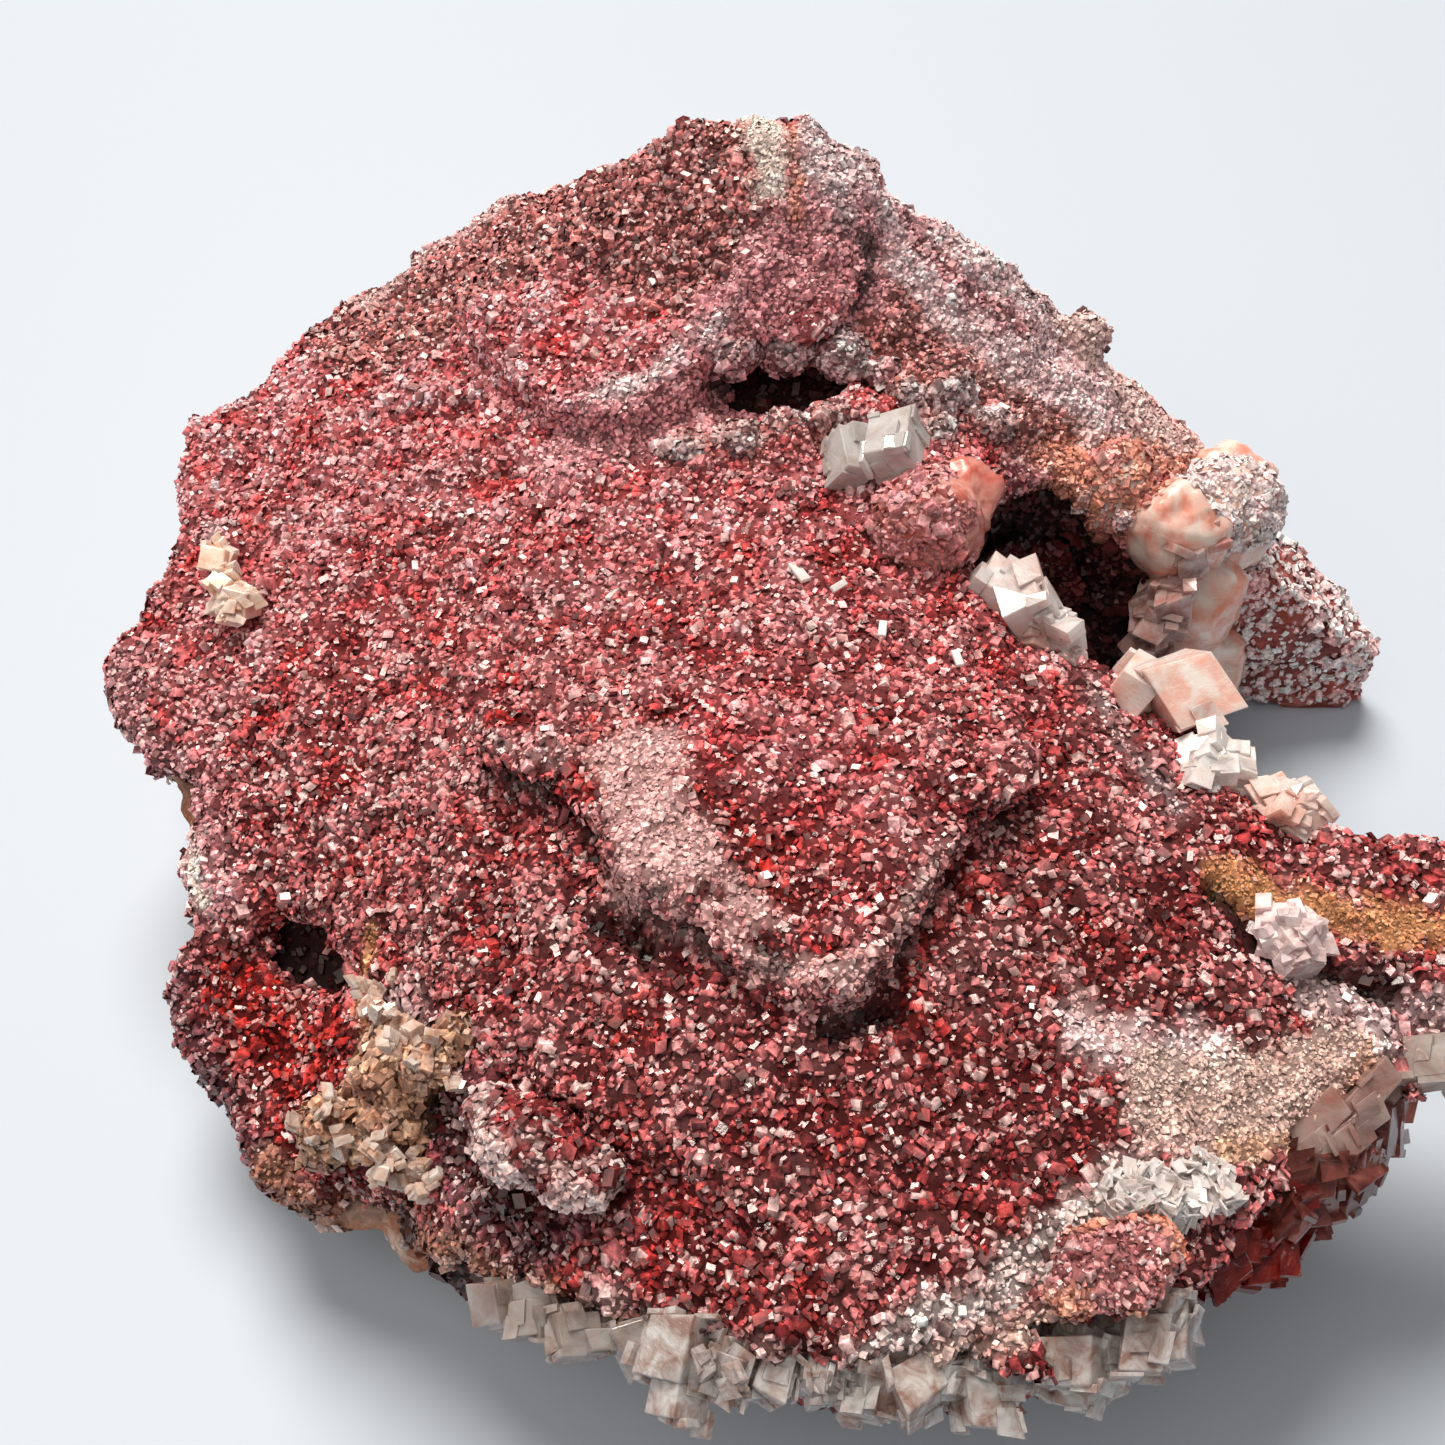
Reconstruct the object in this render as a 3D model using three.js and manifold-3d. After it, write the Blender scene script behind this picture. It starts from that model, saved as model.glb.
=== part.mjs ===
// Calcite on matrix: a hand-size rock whose top is covered by a crust of small red calcite
// rhombohedra, with a hill at the back, a cave at its right, a raised flake in the middle, an arm
// to the right and groups of larger crystals around its edges.
// Units are millimetres, +Z up, +X right, +Y away from the viewer. The points below are in survey
// coordinates, and the last lines move the whole specimen so that it stands centred on the origin.
import * as THREE from "three";
import { mergeVertices } from "three/addons/utils/BufferGeometryUtils.js";
import Module from "manifold-3d";

const wasm = await Module();
wasm.setup();

// ---------------------------------------------------------------- driving dimensions

const GAP = 0.3; // clearance between two pieces that touch
const SLIVER = 0.1; // edges shorter than this, left by the cuts, are closed up
const CRUST = 4.5; // thickness of the drusy crust over the rock
const CELL = 11; // facet size of the rock and its crust
const LEDGE_CELL = 14; // facet size of the ledges
const UNDERSIDE_CELL = 16; // facet size of the underside
const RIM_STEP = 14; // longest straight stretch of a broken edge
const RIM_ROUGHNESS = 0.9; // how far a broken edge wanders
const FIELD = { x: 5, y: 1, width: 216, depth: 192 }; // the ground plan that holds every slab
const SPOT_ROUNDING = 5; // how softly the spot heights blend
const ROCK_INSET = 1.2; // how far the crust's edge reaches past the rock
const CALCITE_ANGLE = 101.9; // degrees between the edges at a rhombohedron's blunt corner

// The rim of the specimen in plan, from the left tip over the back and round to the front.
const RIM = [
  [-92, 13], [-88, 21], [-85, 28], [-84, 35], [-87, 43], [-87, 52], [-83, 56], [-76, 59],
  [-72, 68], [-64, 76], [-57, 76], [-55, 81], [-48, 84], [-38, 84], [-30, 87], [-16, 88],
  [-5, 85], [3, 87], [10, 80], [18, 77], [25, 72], [33, 70], [40, 69], [46, 71], [51, 67],
  [53, 62], [59, 60], [65, 55], [71, 54], [76, 51], [83, 52], [91, 47], [97, 44], [101, 39],
  [99, 35], [94, 33], [84, 34], [76, 33], [68, 31], [61, 29], [55, 28], [48, 34], [40, 37],
  [32, 34], [27, 25], [26, 17], [30, 10], [37, 3], [45, 0], [54, -1], [56, -8], [56, -15],
  [62, -20], [68, -24], [77, -25], [88, -26], [97, -29], [101, -35], [98, -41], [90, -46],
  [80, -49], [72, -51], [67, -55], [60, -60], [53, -64], [46, -68], [40, -74], [33, -79],
  [24, -84], [12, -81], [4, -82], [-8, -79], [-18, -77], [-30, -72], [-40, -66], [-50, -60],
  [-60, -55], [-66, -46], [-74, -38], [-77, -31], [-74, -24], [-78, -13], [-82, -3], [-90, 8],
];

// Spot heights of the crust's top.
const PLATE_TOP = [
  [-90, 13, 38], [-83, 30, 43], [-85, 46, 45], [-70, 60, 51], [-70, 0, 39], [-62, 25, 45],
  [-45, 5, 46], [-42, 30, 51], [-22, 8, 51], [-20, 26, 55], [0, 0, 53], [6, 22, 56],
  [22, 10, 52], [30, -8, 50], [46, -12, 47], [44, -32, 48], [56, -22, 47], [14, -38, 50],
  [-18, -30, 49], [-42, -18, 43], [-66, -12, 35], [-76, -16, 31], [25, -60, 47], [0, -60, 47],
  [-20, -55, 46], [-30, -62, 41], [-22, -72, 36], [-5, -77, 41], [12, -80, 42], [28, -80, 42],
  [42, -66, 43], [57, -57, 42], [64, -46, 43],
];
const TERRACE_TOP = [
  [-52, -29, 31], [-70, -33, 23], [-62, -40, 21], [-60, -50, 20], [-55, -38, 22],
  [-50, -44, 30], [-42, -45, 37], [-38, -56, 33], [-48, -56, 25], [-40, -64, 26],
];
const HILL_TOP = [
  [-55, 74, 56], [-42, 58, 60], [-38, 80, 66], [-28, 40, 56], [-18, 60, 67], [-18, 80, 77],
  [-8, 38, 57], [-6, 52, 63], [1, 76, 87], [2, 56, 72], [5, 44, 59], [15, 46, 59], [14, 69, 78], [26, 64, 71],
  [26, 46, 58], [36, 62, 66], [40, 50, 58], [47, 61, 57], [34, 38, 51], [48, 39, 47],
  [60, 50, 44], [62, 34, 42], [74, 46, 37], [85, 46, 29], [94, 42, 22], [99, 37, 12],
  [-18, 88, 66], [2, 86, 66], [20, 78, 62], [45, 70, 46],
];
const ARM_TOP = [
  [70, -32, 48], [84, -32, 49], [98, -36, 45], [80, -48, 43], [70, -50, 42],
];

// Spot heights of the rock's underside; below zero the rock is cut off flat, where it rests.
const UNDERSIDE = [
  [-90, 12, 28], [-83, 45, 30], [-60, 74, 28], [-20, 88, 24], [5, 86, 24], [40, 70, 20],
  [64, 54, 16], [100, 44, 1], [86, 40, -2], [96, 35, -2], [62, 30, 6], [76, -38, 33],
  [100, -38, 37], [57, -14, 30], [46, 0, 26], [67, -54, 31], [48, -70, 30], [30, -82, 32],
  [0, -82, 32], [-30, -72, 27], [-60, -54, 13], [-77, -30, 16], [-82, -6, 24], [-55, 0, 2],
  [-50, 40, 2], [-10, 58, -4], [35, 48, -4], [38, -10, 0], [30, -45, 4], [-30, -45, 0],
  [0, 0, -10], [-20, 20, -10], [20, 20, -8], [0, -40, -6], [5, -70, 4], [18, -76, 14],
];

// Ledges: parts of the crust that stand proud of it and overhang along their front edge. Each has
// its outline, the rise of its top above the crust at the front, the y where that rise begins and
// the y where it has faded out, and the slit left open under its lip.
const FLAKE = {
  outline: [
    [-38, -8], [-36, -15], [-28, -20], [-23, -23], [-20, -31], [-16, -37], [-10, -39],
    [-5, -45], [5, -49], [10, -46], [16, -36], [21, -28], [28, -22], [30, -14], [22, 4],
    [0, 10], [-26, 4],
  ],
  rise: 6, front: -20, back: 8, slit: 2.6, lip: 5,
};
const HILL_LOBES = {
  outline: [
    [-46, 60], [-38, 46], [-30, 38], [-21, 35], [-13, 39], [-8, 45], [0, 47],
    [7, 48], [13, 52], [15, 60], [14, 70], [0, 76], [-20, 76], [-38, 72],
  ],
  rise: 5.2, front: 48, back: 73, slit: 2.6, lip: 5,
};
const TERRACE_LIP = {
  outline: [
    [-74, -13], [-73, -22], [-69, -26], [-59, -28], [-51, -31], [-46, -27], [-50, -14], [-64, -8],
  ],
  rise: 1.5, front: -18, back: -8, slit: -1, lip: 4.5,
};

// ---------------------------------------------------------------- noise and height fields

function hash(i, j, k) {
  const wave = Math.sin(i * 127.1 + j * 311.7 + k * 74.7) * 43758.5453;
  return wave - Math.floor(wave);
}

// Smooth noise between -1 and 1 with lumps of about the given size.
function noise(x, y, z, size) {
  const [px, py, pz] = [x / size, y / size, z / size];
  const [i, j, k] = [Math.floor(px), Math.floor(py), Math.floor(pz)];
  const ease = (t) => t * t * (3 - 2 * t);
  const [u, v, w] = [ease(px - i), ease(py - j), ease(pz - k)];
  let sum = 0;
  for (const a of [0, 1])
    for (const b of [0, 1])
      for (const c of [0, 1])
        sum += hash(i + a, j + b, k + c) * (a ? u : 1 - u) * (b ? v : 1 - v) * (c ? w : 1 - w);
  return 2 * sum - 1;
}

// Solves a square set of linear equations by elimination with pivoting.
function solve(matrix, values) {
  const n = values.length;
  const rows = matrix.map((row, i) => [...row, values[i]]);
  for (let c = 0; c < n; c++) {
    let best = c;
    for (let r = c + 1; r < n; r++) if (Math.abs(rows[r][c]) > Math.abs(rows[best][c])) best = r;
    [rows[c], rows[best]] = [rows[best], rows[c]];
    for (let r = 0; r < n; r++) {
      const factor = r === c ? 0 : rows[r][c] / rows[c][c];
      for (let k = c; factor !== 0 && k <= n; k++) rows[r][k] -= factor * rows[c][k];
    }
  }
  return rows.map((row, i) => row[n] / row[i]);
}

// A smooth surface through spot heights, as a function of x and y.
function surfaceThrough(spots) {
  const weight = (x, y, spot) => Math.hypot(x - spot[0], y - spot[1], SPOT_ROUNDING);
  const mean = spots.reduce((sum, spot) => sum + spot[2], 0) / spots.length;
  const matrix = spots.map(([x, y]) => spots.map((spot) => weight(x, y, spot)));
  const weights = solve(matrix, spots.map((spot) => spot[2] - mean));
  return (x, y) => spots.reduce((sum, spot, i) => sum + weights[i] * weight(x, y, spot), mean);
}

const plainTop = surfaceThrough([...PLATE_TOP, ...TERRACE_TOP, ...HILL_TOP, ...ARM_TOP]);
const plainUnderside = surfaceThrough(UNDERSIDE);

const crustTop = (x, y) =>
  plainTop(x, y) + 1.1 * noise(x, y, 3, 13) + 0.9 * noise(x, y, 7, 6);
const rockTop = (x, y) => plainTop(x, y) - CRUST;
const rockUnderside = (x, y) =>
  Math.min(plainUnderside(x, y) + 2 * noise(x, y, 5, 18), rockTop(x, y) - 5);

// ---------------------------------------------------------------- solids

// A closed three.js geometry as a solid for joining and cutting.
function solidFrom(geometry) {
  const plain = geometry.clone();
  plain.deleteAttribute("normal");
  plain.deleteAttribute("uv");
  const merged = mergeVertices(plain, 1e-3);
  return new wasm.Manifold(
    new wasm.Mesh({
      numProp: 3,
      vertProperties: merged.attributes.position.array,
      triVerts: new Uint32Array(merged.index.array),
    }),
  );
}

const join = (solids) => solids.reduce((whole, solid) => whole.add(solid));

// The biggest of a solid's separate bodies: crumbs left by a cut fall away, and sealed pockets fill.
function largest(solid) {
  return solid.decompose().reduce((best, body) => (body.volume() > best.volume() ? body : best));
}

// A slab over the whole ground plan between two height functions, with scattered facets.
function slab(cell, topAt, bottomAt) {
  const columns = Math.round(FIELD.width / cell);
  const rows = Math.round(FIELD.depth / cell);
  const block = new THREE.BoxGeometry(FIELD.width, FIELD.depth, 2, columns, rows, 1);
  const place = block.attributes.position;
  for (let i = 0; i < place.count; i++) {
    const [column, row] = [Math.round(place.getX(i) * 10), Math.round(place.getY(i) * 10)];
    const x = FIELD.x + place.getX(i) + cell * 0.35 * (2 * hash(column, row, 1) - 1);
    const y = FIELD.y + place.getY(i) + cell * 0.35 * (2 * hash(column, row, 2) - 1);
    place.setXYZ(i, x, y, place.getZ(i) > 0 ? topAt(x, y) : bottomAt(x, y));
  }
  return solidFrom(block);
}

// The upright prism over an outline whose edge is broken and, where wanted, set in a little.
function prism(outline, inset = 0, step = RIM_STEP) {
  // The outward side is on the left of an outline that runs clockwise seen from above.
  const clockwise = THREE.ShapeUtils.area(outline.map(([x, y]) => new THREE.Vector2(x, y))) < 0;
  const points = [];
  outline.forEach(([x0, y0], i) => {
    const [x1, y1] = outline[(i + 1) % outline.length];
    const length = Math.hypot(x1 - x0, y1 - y0);
    const pieces = Math.max(1, Math.round(length / step));
    for (let piece = 0; piece < pieces; piece++) {
      const t = piece / pieces;
      const [x, y] = [x0 + t * (x1 - x0), y0 + t * (y1 - y0)];
      const outward = (clockwise ? 1 : -1) * (RIM_ROUGHNESS * noise(x, y, 20, 5) - inset);
      points.push(new THREE.Vector2(x - (outward * (y1 - y0)) / length, y + (outward * (x1 - x0)) / length));
    }
  });
  const geometry = new THREE.ExtrudeGeometry(new THREE.Shape(points), { depth: 160, bevelEnabled: false });
  geometry.translate(0, 0, -40);
  return solidFrom(geometry);
}

// A rounded lump: a ball of facets with its own radii, roughened.
function lump([x, y, z], radii, { detail = 1, roughness = 0.12, grow = 0, turn = 0 } = {}) {
  const ball = new THREE.IcosahedronGeometry(1, detail);
  const place = ball.attributes.position;
  const [a, b, c] = Array.isArray(radii) ? radii : [radii, radii, radii];
  for (let i = 0; i < place.count; i++) {
    const [px, py, pz] = [place.getX(i), place.getY(i), place.getZ(i)];
    const swell = 1 + roughness * noise(px + x, py + y, pz + z, 0.7);
    place.setXYZ(i, px * (a * swell + grow), py * (b * swell + grow), pz * (c * swell + grow));
  }
  ball.rotateZ(turn);
  ball.translate(x, y, z);
  return solidFrom(ball);
}

// A calcite rhombohedron: a box sheared so that its three edges meet at the calcite angle around
// the long axis. "lean" tips that axis from upright, "toward" is the direction it tips to, and
// "spin" turns the crystal about the axis, all in degrees.
function rhomb([x, y, z], edges, { lean = 0, toward = 0, spin = 0, grow = 0 } = {}) {
  const [a, b, c] = Array.isArray(edges) ? edges : [edges, edges, edges];
  const polar = Math.asin(Math.sqrt((1 - Math.cos(THREE.MathUtils.degToRad(CALCITE_ANGLE))) / 1.5));
  const faceShare = 0.945; // distance between two faces, as a share of the edge between them
  const axes = [a, b, c].map((edge, i) => {
    const round = THREE.MathUtils.degToRad(120 * i + spin);
    return new THREE.Vector3(Math.cos(round), Math.sin(round), 1 / Math.tan(polar))
      .multiplyScalar(Math.sin(polar) * (edge + (2 * grow) / faceShare));
  });
  const box = new THREE.BoxGeometry(1, 1, 1);
  box.applyMatrix4(new THREE.Matrix4().makeBasis(...axes));
  const tip = THREE.MathUtils.degToRad(toward);
  const tipAxis = new THREE.Vector3(-Math.sin(tip), Math.cos(tip), 0);
  box.applyMatrix4(new THREE.Matrix4().makeRotationAxis(tipAxis, THREE.MathUtils.degToRad(lean)));
  box.translate(x, y, z);
  return solidFrom(box);
}

// A group of crystals or lobes grown together. "grow" thickens every one of them, for its socket.
const crystalGroup = (crystals) => (grow) =>
  join(crystals.map(([place, edges, pose]) => rhomb(place, edges, { ...pose, grow })));
const lobeGroup = (lobes) => (grow) =>
  join(lobes.map(([place, radii, detail = 1]) => lump(place, radii, { detail, grow })));
const mixedGroup = (lobes, crystals) => (grow) =>
  lobeGroup(lobes)(grow).add(crystalGroup(crystals)(grow));

// ---------------------------------------------------------------- the rock and its crust

// The cave under the hill's right shoulder, open to the notch between the plate and the hill.
const cave = (shrink) =>
  join([
    lump([39, 29, 27], [13 - shrink, 12 - shrink, 16 - shrink]),
    lump([50, 24, 22], [11 - shrink, 10 - shrink, 14 - shrink], { detail: 0 }),
  ]);

// The low rock that closes the notch behind the plate, under the cave.
function notchFloor() {
  const outline = [[14, 4], [16, 40], [52, 44], [66, 34], [54, 14], [50, 3], [40, -6]];
  return slab(CELL, (x, y) => 10 + 1.5 * noise(x, y, 9, 8) - 0.1 * (x - 30), () => -3)
    .intersect(prism(outline));
}

// The lumps low at the front, which show under the rim.
const frontFoot = () =>
  join([
    lump([2, -66, 9], [14, 11, 11]),
    lump([17, -66, 12], [14, 11, 14], { detail: 0 }),
    lump([-12, -60, 8], [14, 12, 11], { detail: 0 }),
  ]);

function uncutRock() {
  const above = slab(UNDERSIDE_CELL, () => 150, rockUnderside);
  return slab(CELL, rockTop, () => -50).intersect(above).intersect(prism(RIM, ROCK_INSET))
    .add(notchFloor())
    .add(frontFoot());
}

// A ledge: a sheet that overhangs in front, on a core that stands on the rock and ends inside it.
function ledge({ outline, rise, front, back, slit, lip }) {
  const top = (x, y) => {
    const share = THREE.MathUtils.clamp((back - y) / (back - front), 0, 1);
    return plainTop(x, y) + rise * share + 0.8 * noise(x, y, 11, 7);
  };
  const sheet = slab(LEDGE_CELL, top, (x, y) => Math.min(plainTop(x, y) + slit, top(x, y) - 0.8));
  const core = slab(LEDGE_CELL, (x, y) => top(x, y) - 0.4, (x, y) => plainTop(x, y) - 2);
  return sheet.intersect(prism(outline)).add(core.intersect(prism(outline, lip)));
}

// The knobbly ridge below the hill's gap, and the knobs along the edges.
const crustLumps = () =>
  join([
    lump([-9, 34, 55], [7, 5, 4.5], { detail: 0 }),
    lump([1, 36, 56.5], [7, 5, 4.5], { detail: 0 }),
    lump([11, 40, 57.5], [7, 5, 4.5], { detail: 0 }),
    lump([46.5, 60.5, 54], [4.5, 4.5, 6.5], { detail: 0 }),
    lump([27, 50, 58.5], [4, 3.5, 4], { detail: 0 }),
  ]);

// Dark hollows: under the hill's lobes, under the lip above the pit, and below the frosted ledge.
const hollows = () =>
  join([
    lump([0.5, 44.5, 59.5], [14, 7.5, 5.5], { detail: 0, roughness: 0.05, turn: 0.2 }),
    lump([-58.5, -28.5, 27.5], [11, 6.5, 5], { detail: 0, turn: -0.15 }),
    lump([-33, -66.5, 36], [9, 4, 5], { detail: 0, turn: -0.5 }),
  ]);

// Patches where the crust is broken away and the rock shows.
const barePatches = () =>
  join([
    lump([-82, -11, 33], [8, 9, 9], { detail: 0 }),
    lump([-50, -62, 24], [10, 6, 8], { detail: 0, turn: -0.5 }),
    lump([63, -36.5, 49], [11, 3.6, 5], { detail: 0, turn: -0.25 }),
    lump([-4, -86, 38], [12, 5, 8], { detail: 0 }),
  ]);

function crustSheet() {
  const under = slab(CELL, (x, y) => rockTop(x, y) + GAP, () => -60);
  return slab(CELL, crustTop, () => -30).intersect(prism(RIM))
    .subtract(barePatches())
    .add(join([FLAKE, HILL_LOBES, TERRACE_LIP].map(ledge)))
    .add(crustLumps())
    .subtract(hollows())
    .subtract(under);
}

// ---------------------------------------------------------------- the larger crystals

const GROUPS = {
  orange_pink_lobes: {
    colour: 0xd98a72,
    roughness: 0.3,
    form: lobeGroup([
      [[50, 40, 44], [6, 6, 7]], [[58, 34, 42], [7.5, 6.5, 7]], [[67, 41, 38], [9, 8, 8.5]],
      [[69, 49, 36], [9, 7.5, 8], 0], [[62, 31, 30], [8, 6.5, 8.5]], [[64, 30.5, 15], [10, 7.5, 12], 0],
    ]),
  },
  round_pink_lobe: {
    colour: 0xb9544f,
    roughness: 0.35,
    form: lobeGroup([[[20, 22, 53.5], [7.5, 7, 7.5]], [[25, 27, 53.5], 6, 0]]),
  },
  pale_rhomb_pair: {
    colour: 0xd8c9c0,
    roughness: 0.2,
    form: crystalGroup([
      [[16, 31, 60.5], [7.5, 6.5, 9.5], { lean: 35, toward: -70, spin: 15 }],
      [[9.5, 30.5, 58.5], [5, 5.5, 7], { lean: 50, toward: -100, spin: 40 }],
    ]),
  },
  cave_mouth_rhombs: {
    colour: 0xe0cfc6,
    roughness: 0.25,
    form: crystalGroup([
      [[28.5, 13.5, 50], 6.5, { lean: 40, toward: 200, spin: 10 }],
      [[32, 9.5, 51.5], 6.5, { lean: 35, toward: -60, spin: 35 }],
      [[37, 6.5, 49], 5, { lean: 50, toward: 20, spin: 50 }],
      [[34, 8, 47], 6.5, { lean: 20, toward: 90, spin: 70 }],
    ]),
  },
  pink_block_rhomb: {
    colour: 0xe3a79c,
    roughness: 0.22,
    form: crystalGroup([
      [[51, -2, 48], [10, 9, 8], { lean: 30, toward: 40, spin: 20 }],
      [[45, -1.5, 48], [6, 5.5, 6], { lean: 40, toward: 180, spin: 10 }],
    ]),
  },
  white_block_cluster: {
    colour: 0xead9d4,
    roughness: 0.25,
    form: crystalGroup([
      [[52, -12, 47], 5, { lean: 30, toward: -80, spin: 20 }],
      [[55, -14, 46], 5, { lean: 45, toward: -40, spin: 5 }],
      [[51, -14.5, 47], 3.8, { lean: 25, toward: 120, spin: 60 }],
    ]),
  },
  pale_pink_blocks: {
    colour: 0xdca9a2,
    roughness: 0.28,
    form: crystalGroup([
      [[59, -17, 45], 5.2, { lean: 35, toward: 60, spin: 10 }],
      [[62.5, -19, 46], 4.6, { lean: 20, toward: 0, spin: 35 }],
      [[60, -20, 46], 5, { lean: 45, toward: 90, spin: 60 }],
    ]),
  },
  frosted_clump: {
    colour: 0xb89aa4,
    roughness: 0.5,
    form: crystalGroup([
      [[55, -37, 48.2], 4.4, { lean: 30, toward: -60, spin: 0 }],
      [[58, -38, 47.6], 4, { lean: 40, toward: 20, spin: 30 }],
      [[56, -40, 47.2], 4, { lean: 50, toward: -100, spin: 60 }],
    ]),
  },
  red_bladed_rhombs: {
    colour: 0x7c2c27,
    roughness: 0.12,
    form: crystalGroup([
      [[45, -67, 32], [13, 9, 8], { lean: 70, toward: -60, spin: 10 }],
      [[51, -64, 34], [12, 10, 7], { lean: 65, toward: -50, spin: 45 }],
      [[57, -60, 35], [12, 10, 8], { lean: 75, toward: -40, spin: 20 }],
      [[62.5, -55, 38], [10, 9, 7], { lean: 60, toward: -30, spin: 70 }],
      [[48, -63, 27], [11, 9, 8], { lean: 80, toward: -70, spin: 30 }],
    ]),
  },
  white_cleaved_calcite: {
    colour: 0xe6ddd8,
    roughness: 0.3,
    form: crystalGroup([
      [[34, -70, 43.5], [8, 7, 6], { lean: 40, toward: -60, spin: 30 }],
      [[34, -77, 38.5], [10, 9, 8], { lean: 60, toward: -90, spin: 50 }],
      [[26.5, -80.5, 36.5], [9, 8, 8], { lean: 70, toward: -100, spin: 20 }],
      [[19.5, -82, 36], [7, 7, 6.5], { lean: 55, toward: -90, spin: 75 }],
      [[13, -81.5, 35.5], [6, 5.5, 6], { lean: 65, toward: -80, spin: 10 }],
      [[7, -81.5, 34.5], [5.5, 6, 6], { lean: 70, toward: -110, spin: 40 }],
      [[1, -81.5, 34.5], [5.5, 5, 6], { lean: 60, toward: -90, spin: 90 }],
      [[-5, -80.5, 34], [6, 5.5, 5.5], { lean: 60, toward: -100, spin: 25 }],
      [[-11, -79, 34], [5.5, 5, 5], { lean: 60, toward: -110, spin: 55 }],
    ]),
  },
  clear_front_rhombs: {
    colour: 0xd9c6bb,
    roughness: 0.12,
    form: crystalGroup([
      [[-33.5, -71, 28.5], [7, 6.5, 6], { lean: 65, toward: -120, spin: 10 }],
      [[-27.5, -73.5, 31], [7, 6, 6.5], { lean: 60, toward: -90, spin: 40 }],
      [[-22, -75.5, 32], [6.5, 6.5, 5.5], { lean: 70, toward: -80, spin: 5 }],
      [[-16.5, -77.5, 33], 5, { lean: 60, toward: -80, spin: 60 }],
    ]),
  },
  arm_clear_rhombs: {
    colour: 0xcfc3c4,
    roughness: 0.1,
    form: crystalGroup([
      [[70, -50.5, 42], 5.5, { lean: 50, toward: -80, spin: 20 }],
      [[75, -51, 41], 5.5, { lean: 60, toward: -70, spin: 50 }],
      [[80, -50, 40], 5, { lean: 55, toward: -60, spin: 0 }],
      [[77, -49.5, 38], 5, { lean: 70, toward: -70, spin: 30 }],
    ]),
  },
  left_pale_cluster: {
    colour: 0xcdb3ab,
    roughness: 0.4,
    form: mixedGroup(
      [
        [[-73, 13.5, 42.5], [3.6, 2.6, 2.6], 0],
        [[-77, 21, 43.5], [3.2, 3.8, 2.8], 0],
        [[-79, 26.5, 44], [2.8, 3.4, 2.6], 0],
      ],
      [[[-71.5, 18.5, 43.5], [4.5, 6.5, 4.5], { lean: 30, toward: -90, spin: 25 }]],
    ),
  },
  pit_rim_knobs: {
    colour: 0xc2a58e,
    roughness: 0.5,
    form: mixedGroup(
      [
        [[-39.5, -48.5, 38], [3.6, 4.4, 4.4], 0],
        [[-36.5, -46.5, 39.5], [3, 3.4, 3.4], 0],
        [[-52.5, -52.5, 29], [3.8, 4.2, 5.6], 0],
      ],
      [
        [[-45, -47.5, 34.5], [6.5, 6, 8], { lean: 40, toward: -110, spin: 15 }],
        [[-47.5, -52, 30.5], [6, 6, 7], { lean: 50, toward: -140, spin: 60 }],
        [[-42.5, -52.5, 32], [6, 6, 6], { lean: 55, toward: -80, spin: 35 }],
      ],
    ),
  },
  frosted_ledge: {
    colour: 0xa87f86,
    roughness: 0.55,
    form: lobeGroup([
      [[-27, -60.5, 44], [6.5, 5.5, 3.6]],
      [[-21.5, -64, 43.5], [5.5, 4.6, 3.4], 0],
      [[-31, -57, 43], [4, 4, 3.4], 0],
    ]),
  },
};

// ---------------------------------------------------------------- assembly

const specimen = new THREE.Group();

function addPiece(name, solid, colour, roughness) {
  const { numProp, vertProperties, triVerts } = largest(solid.simplify(SLIVER)).getMesh();
  const points = new Float32Array((vertProperties.length / numProp) * 3);
  for (let i = 0; i < points.length / 3; i++)
    points.set(vertProperties.subarray(i * numProp, i * numProp + 3), 3 * i);
  const geometry = new THREE.BufferGeometry();
  geometry.setAttribute("position", new THREE.BufferAttribute(points, 3));
  geometry.setIndex(new THREE.BufferAttribute(triVerts, 1));
  geometry.computeVertexNormals();
  const material = new THREE.MeshStandardMaterial({ color: colour, roughness, metalness: 0 });
  material.flatShading = true;
  const piece = new THREE.Mesh(geometry, material);
  piece.name = name;
  specimen.add(piece);
}

// Each group gets its socket in the rock, in the crust and in the groups after it.
let sockets = cave(0);
for (const [name, { colour, roughness, form }] of Object.entries(GROUPS)) {
  addPiece(name, form(0).subtract(sockets.subtract(cave(0))), colour, roughness);
  sockets = sockets.add(form(GAP));
}

const aboveTable = slab(60, () => 200, () => 0);
const rock = uncutRock().intersect(aboveTable).subtract(hollows());
const lining = rock.intersect(cave(GAP)).subtract(cave(2.6));

addPiece("matrix", rock.subtract(sockets), 0x9c7f6a, 0.85);
addPiece("red_druse_crust", crustSheet().subtract(sockets), 0x7d2320, 0.4);
addPiece("cave_crystal_lining", lining.subtract(sockets.subtract(cave(0))), 0x4a1c1f, 0.35);

// Centre the specimen over the origin, with the table at zero.
const extent = new THREE.Box3().setFromObject(specimen);
const centre = extent.getCenter(new THREE.Vector3());
specimen.position.set(-centre.x, -centre.y, -extent.min.z);

const calcite = new THREE.Group();
calcite.add(specimen);

export default calcite;
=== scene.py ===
# %% [markdown]
# # Calcite on matrix
# A hand-size piece of broken rock whose top is crusted with thousands of small red calcite
# crystals. Bigger crystals, white, pink, orange and clear, stand around its edges. The faceted
# solids of the part give every form its place. This lesson covers them with what the eye sees:
# crystals one by one, cleavage steps, sugary lobes and stained stone. First the solids are loaded.

# %% Load the solids
from math import asin, cos, pi, radians, sin, sqrt, tan

import bmesh
import bpy
import numpy as np
from mathutils import Matrix, Vector, noise
from mathutils.bvhtree import BVHTree


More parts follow.
